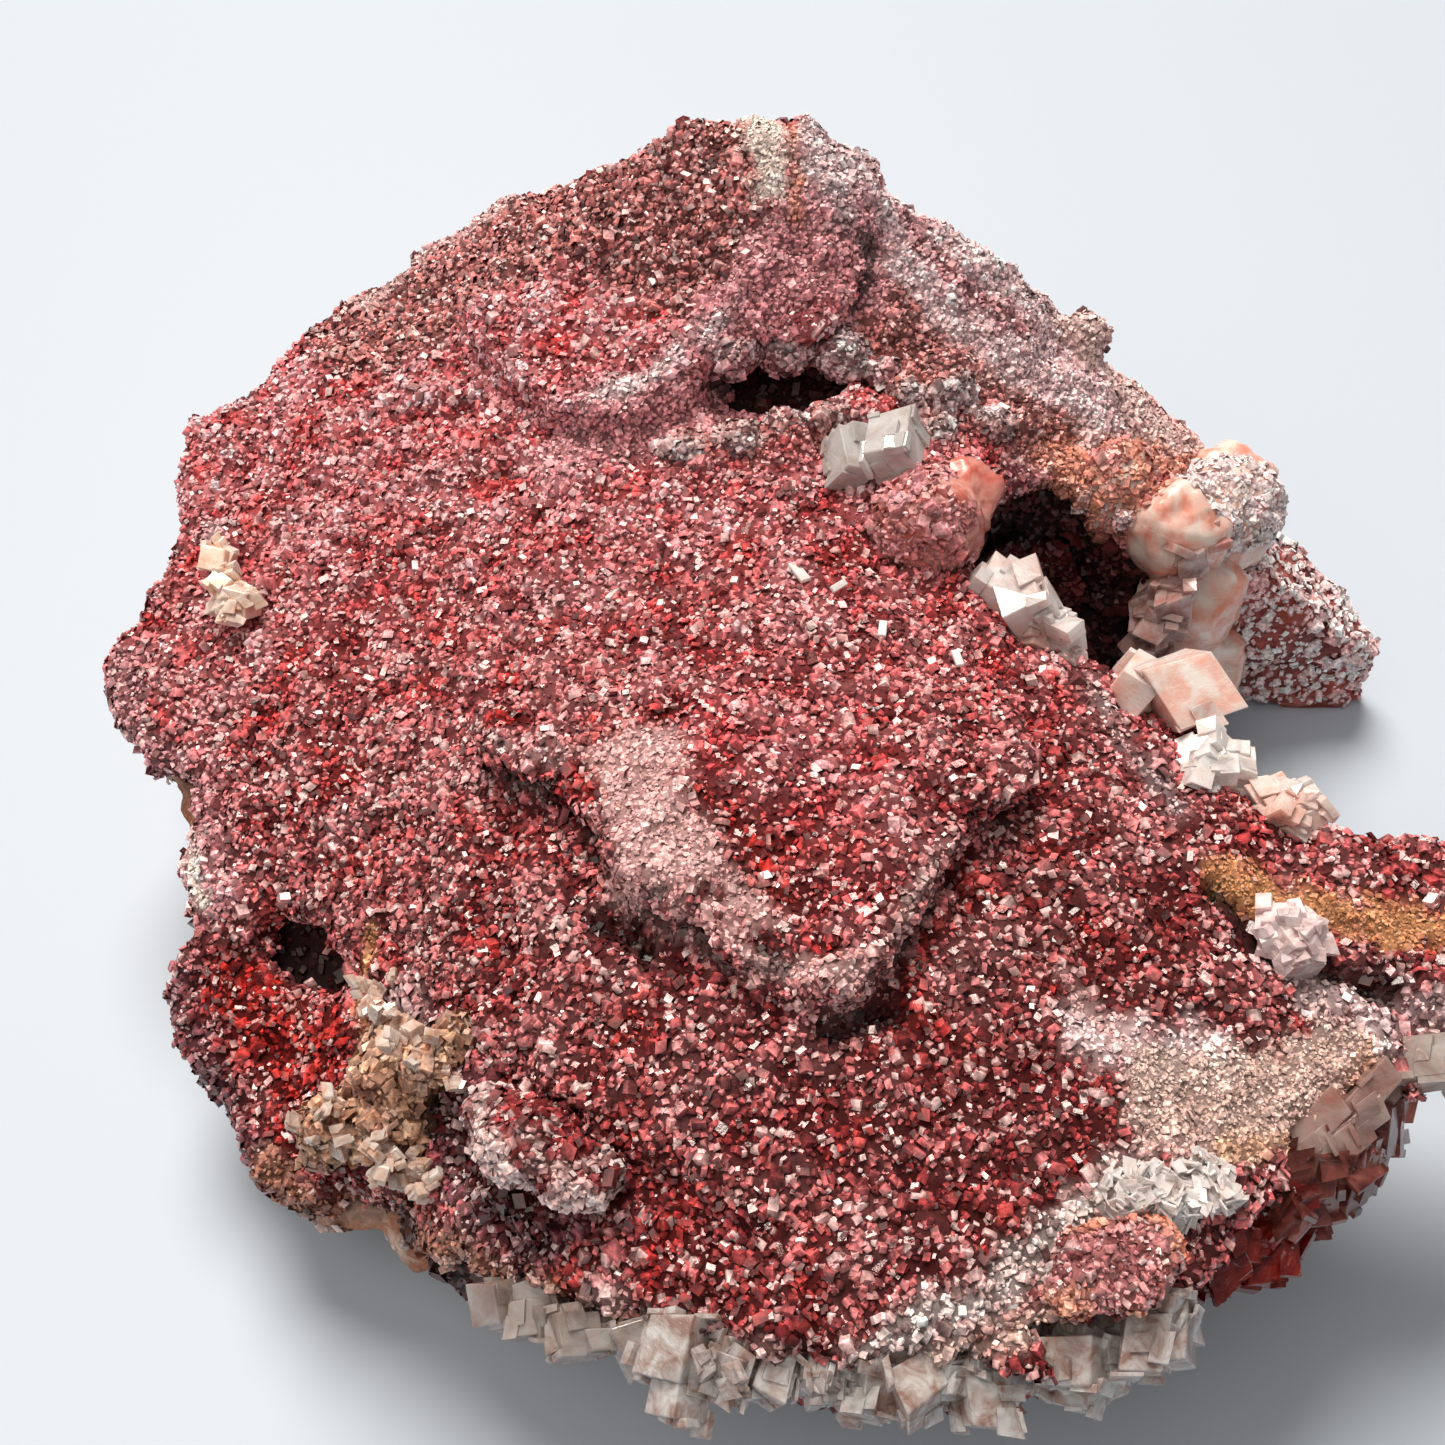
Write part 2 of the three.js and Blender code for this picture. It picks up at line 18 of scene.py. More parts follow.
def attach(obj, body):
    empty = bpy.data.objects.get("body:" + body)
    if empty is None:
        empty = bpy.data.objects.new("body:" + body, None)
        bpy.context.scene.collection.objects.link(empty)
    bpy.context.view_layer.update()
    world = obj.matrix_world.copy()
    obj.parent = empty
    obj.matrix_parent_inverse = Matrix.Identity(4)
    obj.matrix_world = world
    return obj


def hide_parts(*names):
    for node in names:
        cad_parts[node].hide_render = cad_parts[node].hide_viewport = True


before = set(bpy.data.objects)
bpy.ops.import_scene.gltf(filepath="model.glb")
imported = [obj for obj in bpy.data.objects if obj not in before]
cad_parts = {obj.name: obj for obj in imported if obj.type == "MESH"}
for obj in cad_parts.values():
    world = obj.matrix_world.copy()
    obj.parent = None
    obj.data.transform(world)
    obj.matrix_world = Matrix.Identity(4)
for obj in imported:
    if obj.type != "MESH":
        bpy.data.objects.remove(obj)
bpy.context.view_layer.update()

MM = 0.001  # Blender works in metres, the stone is measured in millimetres
chance = np.random.default_rng(1887)  # one seeded source, so that each run grows the same stone
noise.seed_set(1887)  # the noise vectors that bend the crystals are drawn from the clock without this
print("nodes:", len(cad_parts))

# %% [markdown]
# ## The camera
# It is made first, because everything is judged through it. It looks down at the crust from 50
# degrees above the table and from close by, so the front of the stone looks much larger than its
# back. A short lens with a 50 degree view gives that depth.

# %% Camera
AIM = Vector((-11.8, -5.7, 45)) * MM
LOOK_DOWN = radians(50)
DISTANCE = 195 * MM
VIEW_ANGLE = radians(50)

lens = bpy.data.cameras.new("close_view")
lens.sensor_width = 36
lens.lens = lens.sensor_width / 2 / tan(VIEW_ANGLE / 2)
lens.clip_start = 0.01
camera = bpy.data.objects.new("close_view", lens)
camera.location = AIM + DISTANCE * Vector((0, -cos(LOOK_DOWN), sin(LOOK_DOWN)))
camera.rotation_euler = (pi / 2 - LOOK_DOWN, 0, 0)
bpy.context.scene.collection.objects.link(camera)
bpy.context.scene.camera = camera
print("lens:", round(lens.lens, 1), "mm")

# %% [markdown]
# ## Even nets
# The part's solids have flat facets, and too few corners to be rough like stone. So a merged copy
# of a solid is rebuilt as an even net of small squares by voxel remeshing, and a few rounds of
# smoothing take the facets' edges off. Subdividing the facets would be quicker, but it gives long
# thin faces beside small ones, and crystals are to grow on these squares.

# %% Copies and nets
def solids(*names):
    """A merged copy of some solids."""
    shape = bmesh.new()
    for name in names:
        shape.from_mesh(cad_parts[name].data)
    bmesh.ops.remove_doubles(shape, verts=shape.verts, dist=0.001 * MM)
    return shape


def even_net(shape, voxel, rounds):
    """Rebuilds a shape as one even net of squares, voxel millimetres wide."""
    mesh = bpy.data.meshes.new("net")
    shape.to_mesh(mesh)
    shape.free()
    holder = bpy.data.objects.new("net", mesh)
    bpy.context.scene.collection.objects.link(holder)
    remesh = holder.modifiers.new("net", "REMESH")
    remesh.mode = "VOXEL"
    remesh.voxel_size = voxel * MM
    smooth = holder.modifiers.new("round", "SMOOTH")
    smooth.factor = 0.5
    smooth.iterations = rounds
    ready = holder.evaluated_get(bpy.context.evaluated_depsgraph_get())
    net = bpy.data.meshes.new_from_object(ready)
    bpy.data.objects.remove(holder)
    return net


print("corners of the rock before remeshing:", len(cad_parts["matrix"].data.vertices))

# %% [markdown]
# ## Smooth noise
# Natural stone has no plain faces, so the nets are roughened with smooth noise: a field that rises
# and falls over a chosen distance in millimetres. It is read in place, so a lump stays where it is
# when a net gets finer. The same noise later breaks up the borders between colours.

# %% Noise on a net
def waves(points, size, seed=0.0):
    """Smooth noise from about -1 to 1 at each point, with lumps of this size in millimetres."""
    scale = 1 / (size * MM)
    return np.array([noise.noise((p[0] * scale + seed, p[1] * scale, p[2] * scale)) for p in points])


def get_array(items, name):
    """One property with three numbers of many mesh items, as a numpy array."""
    found = np.empty(len(items) * 3, np.float32)
    items.foreach_get(name, found)
    return found.reshape(-1, 3)


def push(mesh, heights):
    """Moves each corner of a mesh along its normal by its height in millimetres."""
    points = get_array(mesh.vertices, "co") + get_array(mesh.vertices, "normal") * heights[:, None] * MM
    points[:, 2] = points[:, 2].clip(0)
    mesh.vertices.foreach_set("co", points.astype(np.float32).ravel())
    mesh.update()


print("noise at the middle of the view:", round(float(waves([AIM], 10)[0]), 2))

# %% [markdown]
# ## The shape of one calcite crystal
# Calcite grows as rhombohedra: boxes pushed over so that three edges meet at one blunt corner, 101.9
# degrees apart. A crystal of the crust stands on the rock with that corner up, so three of its
# faces show and the other three are grown in. A cube gives the corners and faces, and three
# slanted edges replace its square ones.

# %% Rhombohedron
CALCITE_ANGLE = radians(101.9)
polar = asin(sqrt((1 - cos(CALCITE_ANGLE)) / 1.5))
EDGES = np.array([
    [cos(turn) * sin(polar), sin(turn) * sin(polar), cos(polar)]
    for turn in (0, 2 * pi / 3, 4 * pi / 3)
])

block = bmesh.new()
bmesh.ops.create_cube(block, size=1)
rooted = [corner for corner in block.verts if sum(corner.co) < -1]
bmesh.ops.delete(block, geom=rooted, context="VERTS")  # with its three faces, which grow in the crust
block.verts.index_update()
CORNERS = np.array([corner.co for corner in block.verts])
SIDES = np.array([[corner.index for corner in face.verts] for face in block.faces])
block.free()
# Light is lost between crystals, so the foot of each one is darker than its tip.
SHADE = np.interp(CORNERS.sum(axis=1), [-0.5, 1.5], [0.15, 1.4])
print("edge to axis:", round(polar * 180 / pi, 1), "degrees")

# %% [markdown]
# ## The tints of the stone
# Iron colours this calcite red to brown, and where a skin of later calcite has grown over it, it
# turns frosted pink, mauve or grey. The tints are written the way a paint chart gives them, as
# sRGB hex values, and one function turns them into the linear numbers that shaders want.

# %% Tints
def linear(code):
    """An sRGB hex colour as linear red, green, blue and alpha."""
    parts = [int(code[i:i + 2], 16) / 255 for i in (1, 3, 5)]
    return [p / 12.92 if p <= 0.04045 else ((p + 0.055) / 1.055) ** 2.4 for p in parts] + [1.0]


TINTS = {name: np.array(linear(code)[:3]) for name, code in {
    "deep": "#B04648",
    "brick": "#E69698",
    "bright": "#C4302A",
    "dark": "#4A0A0B",
    "black": "#160505",
    "dusty": "#F2D0CE",
    "frosted": "#F2C3C2",
    "white": "#F5E6E4",
    "mauve": "#FFE2E5",
    "grey": "#E8C8C4",
    "plum": "#F2A9B0",
    "dusk": "#8C5660",
    "beige": "#EED0C6",
    "tan": "#FFEFE6",
    "honey": "#EDBE9F",
    "brown": "#A87460",
    "stain": "#D69C6A",
    "orange": "#F0A088",
    "lilac": "#D6B8BC",
    "rose": "#DC8C88",
}.items()}
print("tints:", len(TINTS))

# %% [markdown]
# ## Where the crust changes colour
# The crust is deep red, but it is frosted pink on the raised flake, mauve grey on the right slope,
# bright red in hollows, worn beige at the right front and tan in a seam at the peak. These could be
# painted on an image, but an image has no size of its own. Here each patch is a short path over
# the stone with a width, in millimetres.

# %% Patches
STAIN = [(46, -31), (55, -34), (64, -37), (72, -38)]  # the rusty patch at the root of the arm
CRACK = [(44, -32), (48, -39), (55, -41), (61, -45)]  # the slit beside the stained patch
UNDERCUTS = [[(-26, -36), (-20, -41.5)], [(-1, -52), (7, -48.5)]]  # dark gaps under the flake's lip
FLAKE_EDGE = [(-43, -9), (-31, -22), (-24, -34), (-16, -40), (-7, -46), (1, -49), (8, -42), (12, -33)]
FLAKE_TOP = [(-14, -16), (0, -20), (3, -34)]
RECESS = [(-43, -54), (-41, -56), (-36, -62), (-31, -67)]  # the dark hollow between the knobs and the ledge

# tint, frost, size of its crystals against the crust's, half width in mm, path in mm
PATCHES = [
    ("rose", 0.2, 1.0, 14, [(-62, 66), (-30, 74), (-14, 62)]),
    ("mauve", 0.8, 0.85, 15, [(10, 68), (22, 60), (34, 52), (43, 45)]),
    ("plum", 0.4, 0.9, 3, [(10, 68), (20, 57), (30, 54)]),
    ("grey", 0.8, 0.85, 7, [(40, 62), (55, 52), (74, 46), (92, 41)]),
    ("rose", 0.4, 0.9, 6, [(10, 51), (22, 43), (35, 41)]),
    ("bright", 0.0, 1.0, 2.2, [(9, 44), (10, 46)]),
    ("plum", 0.5, 0.85, 7, [(-34, 34), (-23, 37), (-14, 42), (-5, 53), (5, 56)]),
    ("mauve", 0.5, 0.8, 2.2, [(-30, 38), (-20, 41), (-12, 47)]),
    ("rose", 0.4, 0.9, 3, [(-16, 32), (-4, 34), (7, 32), (14, 32)]),
    ("tan", 0.9, 0.7, 4.2, [(-6, 88), (-6, 74), (-5, 62)]),
    ("orange", 0.6, 0.8, 1.6, [(-3, 82), (-2, 70), (-2, 58)]),
    ("mauve", 0.5, 0.8, 3.0, [(1, 78), (2, 68), (4, 60)]),
    ("frosted", 0.5, 0.8, 3.5, [(-66, 71), (-56, 80), (-44, 80)]),
    ("frosted", 0.7, 0.72, 6.5, [(-23, -18), (-20, -27), (-17, -33)]),
    ("frosted", 0.7, 0.72, 3.8, [(-18, -33), (-12, -36), (-7, -41)]),
    ("frosted", 0.7, 0.75, 2.0, FLAKE_EDGE[2:6]),
    ("frosted", 0.6, 0.75, 1.9, [(0, -48), (4, -45), (7, -42)]),
    ("frosted", 0.4, 0.85, 1.7, [(7, -42), (10, -37), (12, -33)]),
    ("frosted", 0.4, 0.7, 0.9, [(-43, -8), (-38, -15), (-31, -19)]),
    ("bright", 0.0, 1.0, 2.6, [(-39, -10), (-36, -11)]),
    ("bright", 0.0, 1.0, 2.2, [(-27, -16), (-17, -11)]),
    ("bright", 0.0, 1.0, 2.6, [(-15, -25), (-9, -32), (-5, -40)]),
    ("bright", 0.0, 1.1, 6.5, [(-73, -34), (-61, -41), (-62, -48)]),
    # Painted shade: the lobes at the left front are painted dusky mauve, darker than their own colour, where
    # shadow lies on them.
    ("dusk", 0.2, 1.0, 3.4, [(-82, -29), (-76, -40), (-72, -48), (-61, -58)]),
    ("plum", 0.4, 0.9, 4.0, [(-94, 11), (-87, -2), (-80, -10), (-76, -22)]),
    ("tan", 0.8, 0.8, 1.6, [(-86, -6), (-81, -14), (-78, -22)]),
    ("lilac", 0.3, 1.0, 3.4, [(-50, -39), (-43, -48)]),
    ("lilac", 0.3, 1.0, 2.5, [(-84, 31), (-80, 20)]),
    ("brown", 0.6, 0.9, 3.4, [(-66, -54), (-56, -60), (-47, -64), (-38, -70), (-30, -74)]),
    # Painted shade: the recess is painted dusky and dark, as the shadow in it.
    ("dusk", 0.2, 1.0, 6.0, RECESS),
    ("dark", 0.2, 1.0, 3.6, RECESS),
    ("beige", 0.5, 0.9, 1.5, [(-47, -66), (-36, -72), (-24, -76)]),
    ("frosted", 0.3, 1.0, 2.6, [(-24, -75), (-14, -79), (-6, -82)]),
    ("white", 0.4, 0.9, 3.2, [(2, -82), (13, -77), (20, -71), (26, -68)]),
    ("white", 0.5, 0.9, 2.6, [(24, -68), (31, -65)]),
    ("beige", 0.5, 0.8, 2.4, [(8, -83), (16, -80), (21, -78)]),
    ("mauve", 0.6, 0.8, 4.5, [(26, -50), (33, -53), (40, -52)]),
    ("frosted", 0.7, 0.6, 1.6, [(25, -44), (28, -49), (31, -53)]),
    ("frosted", 0.8, 0.55, 2.6, [(31, -60), (36, -62), (42, -61)]),
    ("beige", 0.6, 0.55, 6.0, [(34, -57), (42, -57), (50, -55), (55, -51)]),
    ("honey", 0.8, 0.55, 1.7, [(57, -44), (58, -53), (50, -60), (40, -62)]),
    ("mauve", 0.4, 0.9, 4.0, [(51, -42), (60, -48)]),
    ("lilac", 0.3, 1.0, 4.0, [(62, -45), (72, -48), (86, -46)]),
    ("lilac", 0.3, 0.9, 2.6, [(34, -2), (38, -13), (42, -21)]),
    ("stain", 0.9, 0.5, 3.6, STAIN),
    ("stain", 0.8, 0.75, 1.4, [(-54, -30), (-55, -37), (-54, -42)]),
    ("orange", 0.5, 0.8, 5.0, [(36, 38), (50, 43), (60, 44)]),
    # Painted shade: the crack and the undercuts under the flake's lip are painted black, as the shadow in
    # them.
    ("black", 0.4, 0.9, 1.3, CRACK),
    ("black", 0.5, 0.9, 1.2, UNDERCUTS[0]),
    ("black", 0.5, 0.9, 1.3, UNDERCUTS[1]),
]
print("patches:", len(PATCHES))

# %% [markdown]
# ## One colour for each crystal
# A crystal takes its tint from the patches that it stands in. Their borders wander by noise, and each crystal
# close to a border takes part of the patch's tint. Between the patches the red wanders from deep to pale with
# the relief as painted light, because clean knobs catch more light than dimples, and the rear and the flake's
# top are painted paler, as if lit more from behind and above.

# %% Colours by place
def distance_to(path, points):
    """How far points are in plan from a path, in millimetres."""
    flat = points[:, :2] / MM
    near = np.full(len(points), np.inf)
    for start, end in zip(path, path[1:]):
        start, along = np.array(start), np.subtract(end, start)
        share = ((flat - start) @ along / (along @ along)).clip(0, 1)
        near = np.minimum(near, np.linalg.norm(flat - start - share[:, None] * along, axis=1))
    return near


def patch_colours(points):
    """The tint, frost and size of the crust's crystals at these points."""
    knobs = 0.5 * waves(points, 5, 2.0) + 0.5 * waves(points, 2.7, 4.0)  # the crust's own relief
    # Painted light: the red is painted paler on knobs of the relief and towards the rear, darker in dimples;
    # the 9 mm noise is the crust's own uneven tone.
    shade = (0.45 + 0.6 * waves(points, 9, 3.0) + 1.1 * knobs + points[:, 1] / MM / 300).clip(0, 1)
    tints = TINTS["deep"] + (TINTS["brick"] - TINTS["deep"]) * shade[:, None]
    glow = ((waves(points, 6, 21.0) - 0.22) * 5).clip(0, 1) * 0.6
    tints += (TINTS["bright"] - tints) * glow[:, None]
    # Painted light: the rear and the flake's top are painted paler, as if lit more from behind and above, and
    # the rear is duller as well.
    rear = ((points[:, 1] / MM + 35) / 90).clip(0, 1)
    painted_light = rear + 0.6 * np.exp(-((distance_to(FLAKE_TOP, points) / 9) ** 2))
    tints *= 1 + painted_light[:, None] * [1.35, 1.0, 1.1]
    frost = 0.35 * rear
    size = np.ones(len(points))
    wander = 2.2 * waves(points, 5, 40.0) + 2.4 * waves(points, 1.8, 50.0)
    for tint, frosting, scale, half_width, path in PATCHES:
        edge = half_width + wander * min(1, half_width / 4) - distance_to(path, points)
        part = (edge / min(2.4, half_width)).clip(0, 1)
        tints += (TINTS[tint] - tints) * (0.92 * part)[:, None]
        frost += (frosting - frost) * part
        size += (scale - size) * part
    # Painted shade: the dimples are darkened and the knobs lightened once more by the relief.
    tints = tints * (1 + 0.5 * knobs)[:, None].clip(0.6, 1.25)  # dimples stay darker than knobs
    return tints, frost, size


print("tint at the middle of the view:", patch_colours(np.array([AIM]))[0][0].round(2))

# %% [markdown]
# ## Calcite as a material
# All the crystals are calcite, a clear mineral: only impurities, trapped water and frosting of its
# faces tell them apart. One function makes each variety of the larger crystals from its colour, how
# clear it is, how far light wanders inside and how rough its faces are. Cloudy veils a few
# millimetres wide, growth lines and the low steps of its cleavage keep large faces from looking
# like plastic. The veils could be a second volume inside, but that would take hours to render.

# %% Calcite
CALCITE_INDEX = 1.66  # calcite bends light more than glass does
CLEAVAGE_STEP = 1.4  # the width of its cleavage steps in mm


def add_node(tree, kind, settings=(), links=()):
    """A new shader node. Each link is a socket of another node, or else a plain value."""
    made = tree.nodes.new(kind)
    for name, value in dict(settings).items():
        setattr(made, name, value)
    for name, value in dict(links).items():
        if isinstance(value, bpy.types.NodeSocket):
            tree.links.new(value, made.inputs[name])
        else:
            made.inputs[name].default_value = value
    return made


def per_size(millimetres):
    """The scale of a pattern whose features are about this many millimetres across."""
    return 1 / (millimetres * MM)


def new_material(name):
    """A material with only a Principled shader and its output."""
    material = bpy.data.materials.new(name)
    material.use_nodes = True
    tree = material.node_tree
    tree.nodes.clear()
    shader = add_node(tree, "ShaderNodeBsdfPrincipled")
    add_node(tree, "ShaderNodeOutputMaterial", links={"Surface": shader.outputs["BSDF"]})
    return material, tree, shader


def calcite(name, dark, light, rough, clear=0.0, milky=0.0, veil=2.5, lines=0.3, relief=0.12):
    """Calcite with cloudy veils from a dark to a light colour.

    Veil and lines are the sizes in mm of its clouds and growth lines. A relief under 0.1 is that of
    rounded calcite, which has no cleavage steps."""
    material, tree, shader = new_material(name)
    place = add_node(tree, "ShaderNodeTexCoord").outputs["Object"]
    cloud = add_node(tree, "ShaderNodeTexNoise", links={
        "Vector": place, "Scale": per_size(veil), "Detail": 5.0, "Roughness": 0.6, "Distortion": 0.6})
    ramp = add_node(tree, "ShaderNodeValToRGB", links={"Fac": cloud.outputs["Fac"]})
    for stop, position, code in zip(ramp.color_ramp.elements, (0.36, 0.64), (dark, light)):
        stop.position = position
        stop.color = linear(code)
    stretch = add_node(tree, "ShaderNodeMapping", links={
        "Vector": place, "Rotation": (0.4, 0.7, 0.2), "Scale": (1, 1, 6)})
    growth = add_node(tree, "ShaderNodeTexNoise", links={
        "Vector": stretch.outputs["Vector"], "Scale": per_size(lines * 6), "Detail": 4.0})
    bump = add_node(tree, "ShaderNodeBump", links={
        "Height": growth.outputs["Fac"], "Strength": relief * 4, "Distance": 0.1 * MM})
    if relief >= 0.1:
        plates = add_node(tree, "ShaderNodeTexVoronoi", {"distance": "CHEBYCHEV"}, {
            "Vector": stretch.outputs["Vector"], "Scale": per_size(CLEAVAGE_STEP)})
        bump = add_node(tree, "ShaderNodeBump", links={
            "Height": plates.outputs["Color"], "Strength": 0.5, "Distance": 0.12 * MM,
            "Normal": bump.outputs["Normal"]})
    gloss = add_node(tree, "ShaderNodeMapRange", links={
        "Value": growth.outputs["Fac"], "From Min": 0.3, "From Max": 0.7,
        "To Min": rough * 0.7, "To Max": min(1, rough * 1.5)})
    tree.links.new(ramp.outputs["Color"], shader.inputs["Base Color"])
    tree.links.new(gloss.outputs["Result"], shader.inputs["Roughness"])
    tree.links.new(bump.outputs["Normal"], shader.inputs["Normal"])
    shader.inputs["IOR"].default_value = CALCITE_INDEX
    shader.inputs["Transmission Weight"].default_value = clear
    shader.inputs["Subsurface Weight"].default_value = milky
    shader.inputs["Subsurface Radius"].default_value = (1.0, 0.8, 0.7)
    shader.inputs["Subsurface Scale"].default_value = 3 * MM
    return material


# White calcite: fresh cleavage, pearly, full of tiny cracks.
WHITE = calcite("white_cleaved_calcite", "#F2E2DC", "#FFFFFF", rough=0.3, clear=0.1, milky=0.4, veil=2)
print("one step of cleavage is", CLEAVAGE_STEP, "mm wide")

# %% [markdown]
# ## The small crystals' material
# Each small crystal of the druse has a tint of its own, which its mesh carries as an attribute, so
# one material serves tens of thousands of them. The attribute's fourth number says how frosted the
# crystal is: clean faces are smooth and flash white, frosted ones are dull.

# %% Druse materials
def druse(name, smooth=0.2, milky=0.0):
    """Small grown crystals, each with its own tint: glassy where clean, dull where frosted."""
    material, tree, shader = new_material(name)
    tint = add_node(tree, "ShaderNodeAttribute", {"attribute_name": "tint"})
    place = add_node(tree, "ShaderNodeTexCoord").outputs["Object"]
    specks = add_node(tree, "ShaderNodeTexNoise", links={
        "Vector": place, "Scale": per_size(0.5), "Detail": 3.0})
    mottle = add_node(tree, "ShaderNodeMapRange", links={
        "Value": specks.outputs["Fac"], "From Min": 0.32, "From Max": 0.68,
        "To Min": 0.55, "To Max": 1.4})
    colour = add_node(tree, "ShaderNodeVectorMath", {"operation": "SCALE"}, {
        "Vector": tint.outputs["Color"], "Scale": mottle.outputs["Result"]})
    gloss = add_node(tree, "ShaderNodeMapRange", links={
        "Value": tint.outputs["Alpha"], "To Min": smooth, "To Max": 0.6})
    growth = add_node(tree, "ShaderNodeTexNoise", links={"Vector": place, "Scale": per_size(0.3)})
    bump = add_node(tree, "ShaderNodeBump", links={
        "Height": growth.outputs["Fac"], "Strength": 0.7, "Distance": 0.05 * MM})
    tree.links.new(colour.outputs["Vector"], shader.inputs["Base Color"])
    tree.links.new(gloss.outputs["Result"], shader.inputs["Roughness"])
    tree.links.new(bump.outputs["Normal"], shader.inputs["Normal"])
    shader.inputs["IOR"].default_value = CALCITE_INDEX
    shader.inputs["Subsurface Weight"].default_value = milky
    shader.inputs["Subsurface Radius"].default_value = (1.0, 0.5, 0.4)
    shader.inputs["Subsurface Scale"].default_value = 1 * MM
    return material


# Small grown calcite crystals, glassy: clean faces flash white, the bodies are deep red.
RED_DRUSE = druse("calcite_druse_grown_faces")
# The duller druse on the rock and in the hollows.
ROCK_DRUSE = druse("dull_calcite_druse", smooth=0.35)
# Sugary pale calcite: fine grains that let a little light through.
SUGAR = druse("sugary_pale_calcite", smooth=0.2, milky=0.3)
print("druse materials:", RED_DRUSE.name, ROCK_DRUSE.name, SUGAR.name)

# %% [markdown]
# ## What lies between the crystals
# Little light comes back out of the gaps of a druse. They could be left to the shadows, but the net
# below the crystals is smooth and would shine there. So it gets a matt material of its own, in the
# tint of the place, with a fine grain.

# %% Gap material
def body(name):
    """What lies between the crystals: matt, in the tint of the place, with a fine grain."""
    material, tree, shader = new_material(name)
    tint = add_node(tree, "ShaderNodeAttribute", {"attribute_name": "tint"})
    grain = add_node(tree, "ShaderNodeTexNoise", links={
        "Vector": add_node(tree, "ShaderNodeTexCoord").outputs["Object"],
        "Scale": per_size(1.2), "Detail": 5.0, "Roughness": 0.7})
    mottle = add_node(tree, "ShaderNodeMapRange", links={
        "Value": grain.outputs["Fac"], "From Min": 0.3, "From Max": 0.7, "To Min": 0.5, "To Max": 1.4})
    colour = add_node(tree, "ShaderNodeVectorMath", {"operation": "SCALE"}, {
        "Vector": tint.outputs["Color"], "Scale": mottle.outputs["Result"]})
    bump = add_node(tree, "ShaderNodeBump", links={
        "Height": grain.outputs["Fac"], "Strength": 0.7, "Distance": 0.4 * MM})
    tree.links.new(colour.outputs["Vector"], shader.inputs["Base Color"])
    tree.links.new(bump.outputs["Normal"], shader.inputs["Normal"])
    shader.inputs["Roughness"].default_value = 0.8
    shader.inputs["Specular IOR Level"].default_value = 0.1  # dust and shadow take its shine away
    return material


# Calcite in the gaps of the druse: matt and dark, because little light comes back out of them.
CRUST_BODY = body("calcite_crust_in_shadow")
print("materials:", len(bpy.data.materials))

# %% [markdown]
# ## The crust under the crystals
# The crust is a sheet about 5 mm thick. It could be left as the faceted solid, but its facets would show
# between the crystals. So it is rebuilt as an even net, roughened into the knobs and dimples that the
# crystals grow on, and cut in along the crack, the recess and the flake's undercuts. It is painted darker
# than the crystals above it, as painted shade for the gaps, and paler where they are frosted.

# %% Crust
CRUST_NET = 1.3
CUTS = [(CRACK, 3.2, 1.2), (UNDERCUTS[0], 3, 1.1), (UNDERCUTS[1], 3, 1.2), (RECESS, 1.2, 2.0)]  # depth, width
GAP_SHADE = 0.14  # of a clean crystal's tint
FROSTED_GAP = 0.45  # added to it where the crystals are frosted


def paint(mesh, tints, alpha):
    """Stores a colour for each corner of a mesh, with one more number beside it."""
    tint = mesh.color_attributes.new("tint", "FLOAT_COLOR", "POINT")
    tint.data.foreach_set("color", np.column_stack([tints, alpha]).astype(np.float32).ravel())


def make_piece(name, mesh, material, nodes=()):
    """Shows a mesh as a piece of the stone, in place of the solids named in nodes."""
    piece = bpy.data.objects.new(name, mesh)
    bpy.context.scene.collection.objects.link(piece)
    mesh.materials.clear()
    mesh.materials.append(material)
    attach(piece, "root")
    if nodes:
        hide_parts(*nodes)
    triangles = sum(len(face.vertices) - 2 for face in mesh.polygons)
    print(name, triangles, "triangles")


crust = even_net(solids("red_druse_crust"), CRUST_NET, 2)
points = get_array(crust.vertices, "co")
swell = 0.9 * waves(points, 10, 1.0) + 1.0 * waves(points, 5, 2.0) + 0.75 * waves(points, 2.7, 4.0)
near_lip = np.exp(-((distance_to(FLAKE_EDGE, points) / 3) ** 2))
swell += near_lip * (1.9 * waves(points, 5.5, 13.0) + 1.0 * waves(points, 2.6, 17.0))
for path, depth, width in CUTS:
    swell -= depth * np.exp(-((distance_to(path, points) / width) ** 2))
push(crust, swell)
crust.shade_smooth()
tints, frost, _ = patch_colours(get_array(crust.vertices, "co"))
# Painted shade: the net between the crystals is painted at GAP_SHADE of their tint, paler where they are
# frosted.
paint(crust, tints * (GAP_SHADE + FROSTED_GAP * frost[:, None]), frost)
make_piece("crust_body", crust, CRUST_BODY, ["red_druse_crust"])

# %% [markdown]
# ## Many crystals in one mesh
# Tens of thousands of crystals, each around a millimetre, stand on the open side of the crust.
# Modelling them as bumps would lose the flashes of their flat faces, and an object for each would
# be slow. So each has its three free faces, and all of a sheet are joined in one mesh, worked out
# as arrays from the one corner shape above.

# %% Crystals as arrays
FROST_EVENS = 0.6  # how much frosting evens out the shade within a crystal and between crystals


def crystal_frames(directions, lean):
    """A turned frame for each crystal: its axis leans off the given direction by up to lean."""
    count = len(directions)
    aside = np.cross(directions, chance.normal(size=(count, 3)))
    aside /= np.linalg.norm(aside, axis=1, keepdims=True)
    angle = radians(lean) * np.sqrt(chance.random(count))[:, None]
    axis = directions * np.cos(angle) + aside * np.sin(angle)
    first = np.cross(axis, chance.normal(size=(count, 3)))
    first /= np.linalg.norm(first, axis=1, keepdims=True)
    return np.stack([first, np.cross(axis, first), axis], axis=1)


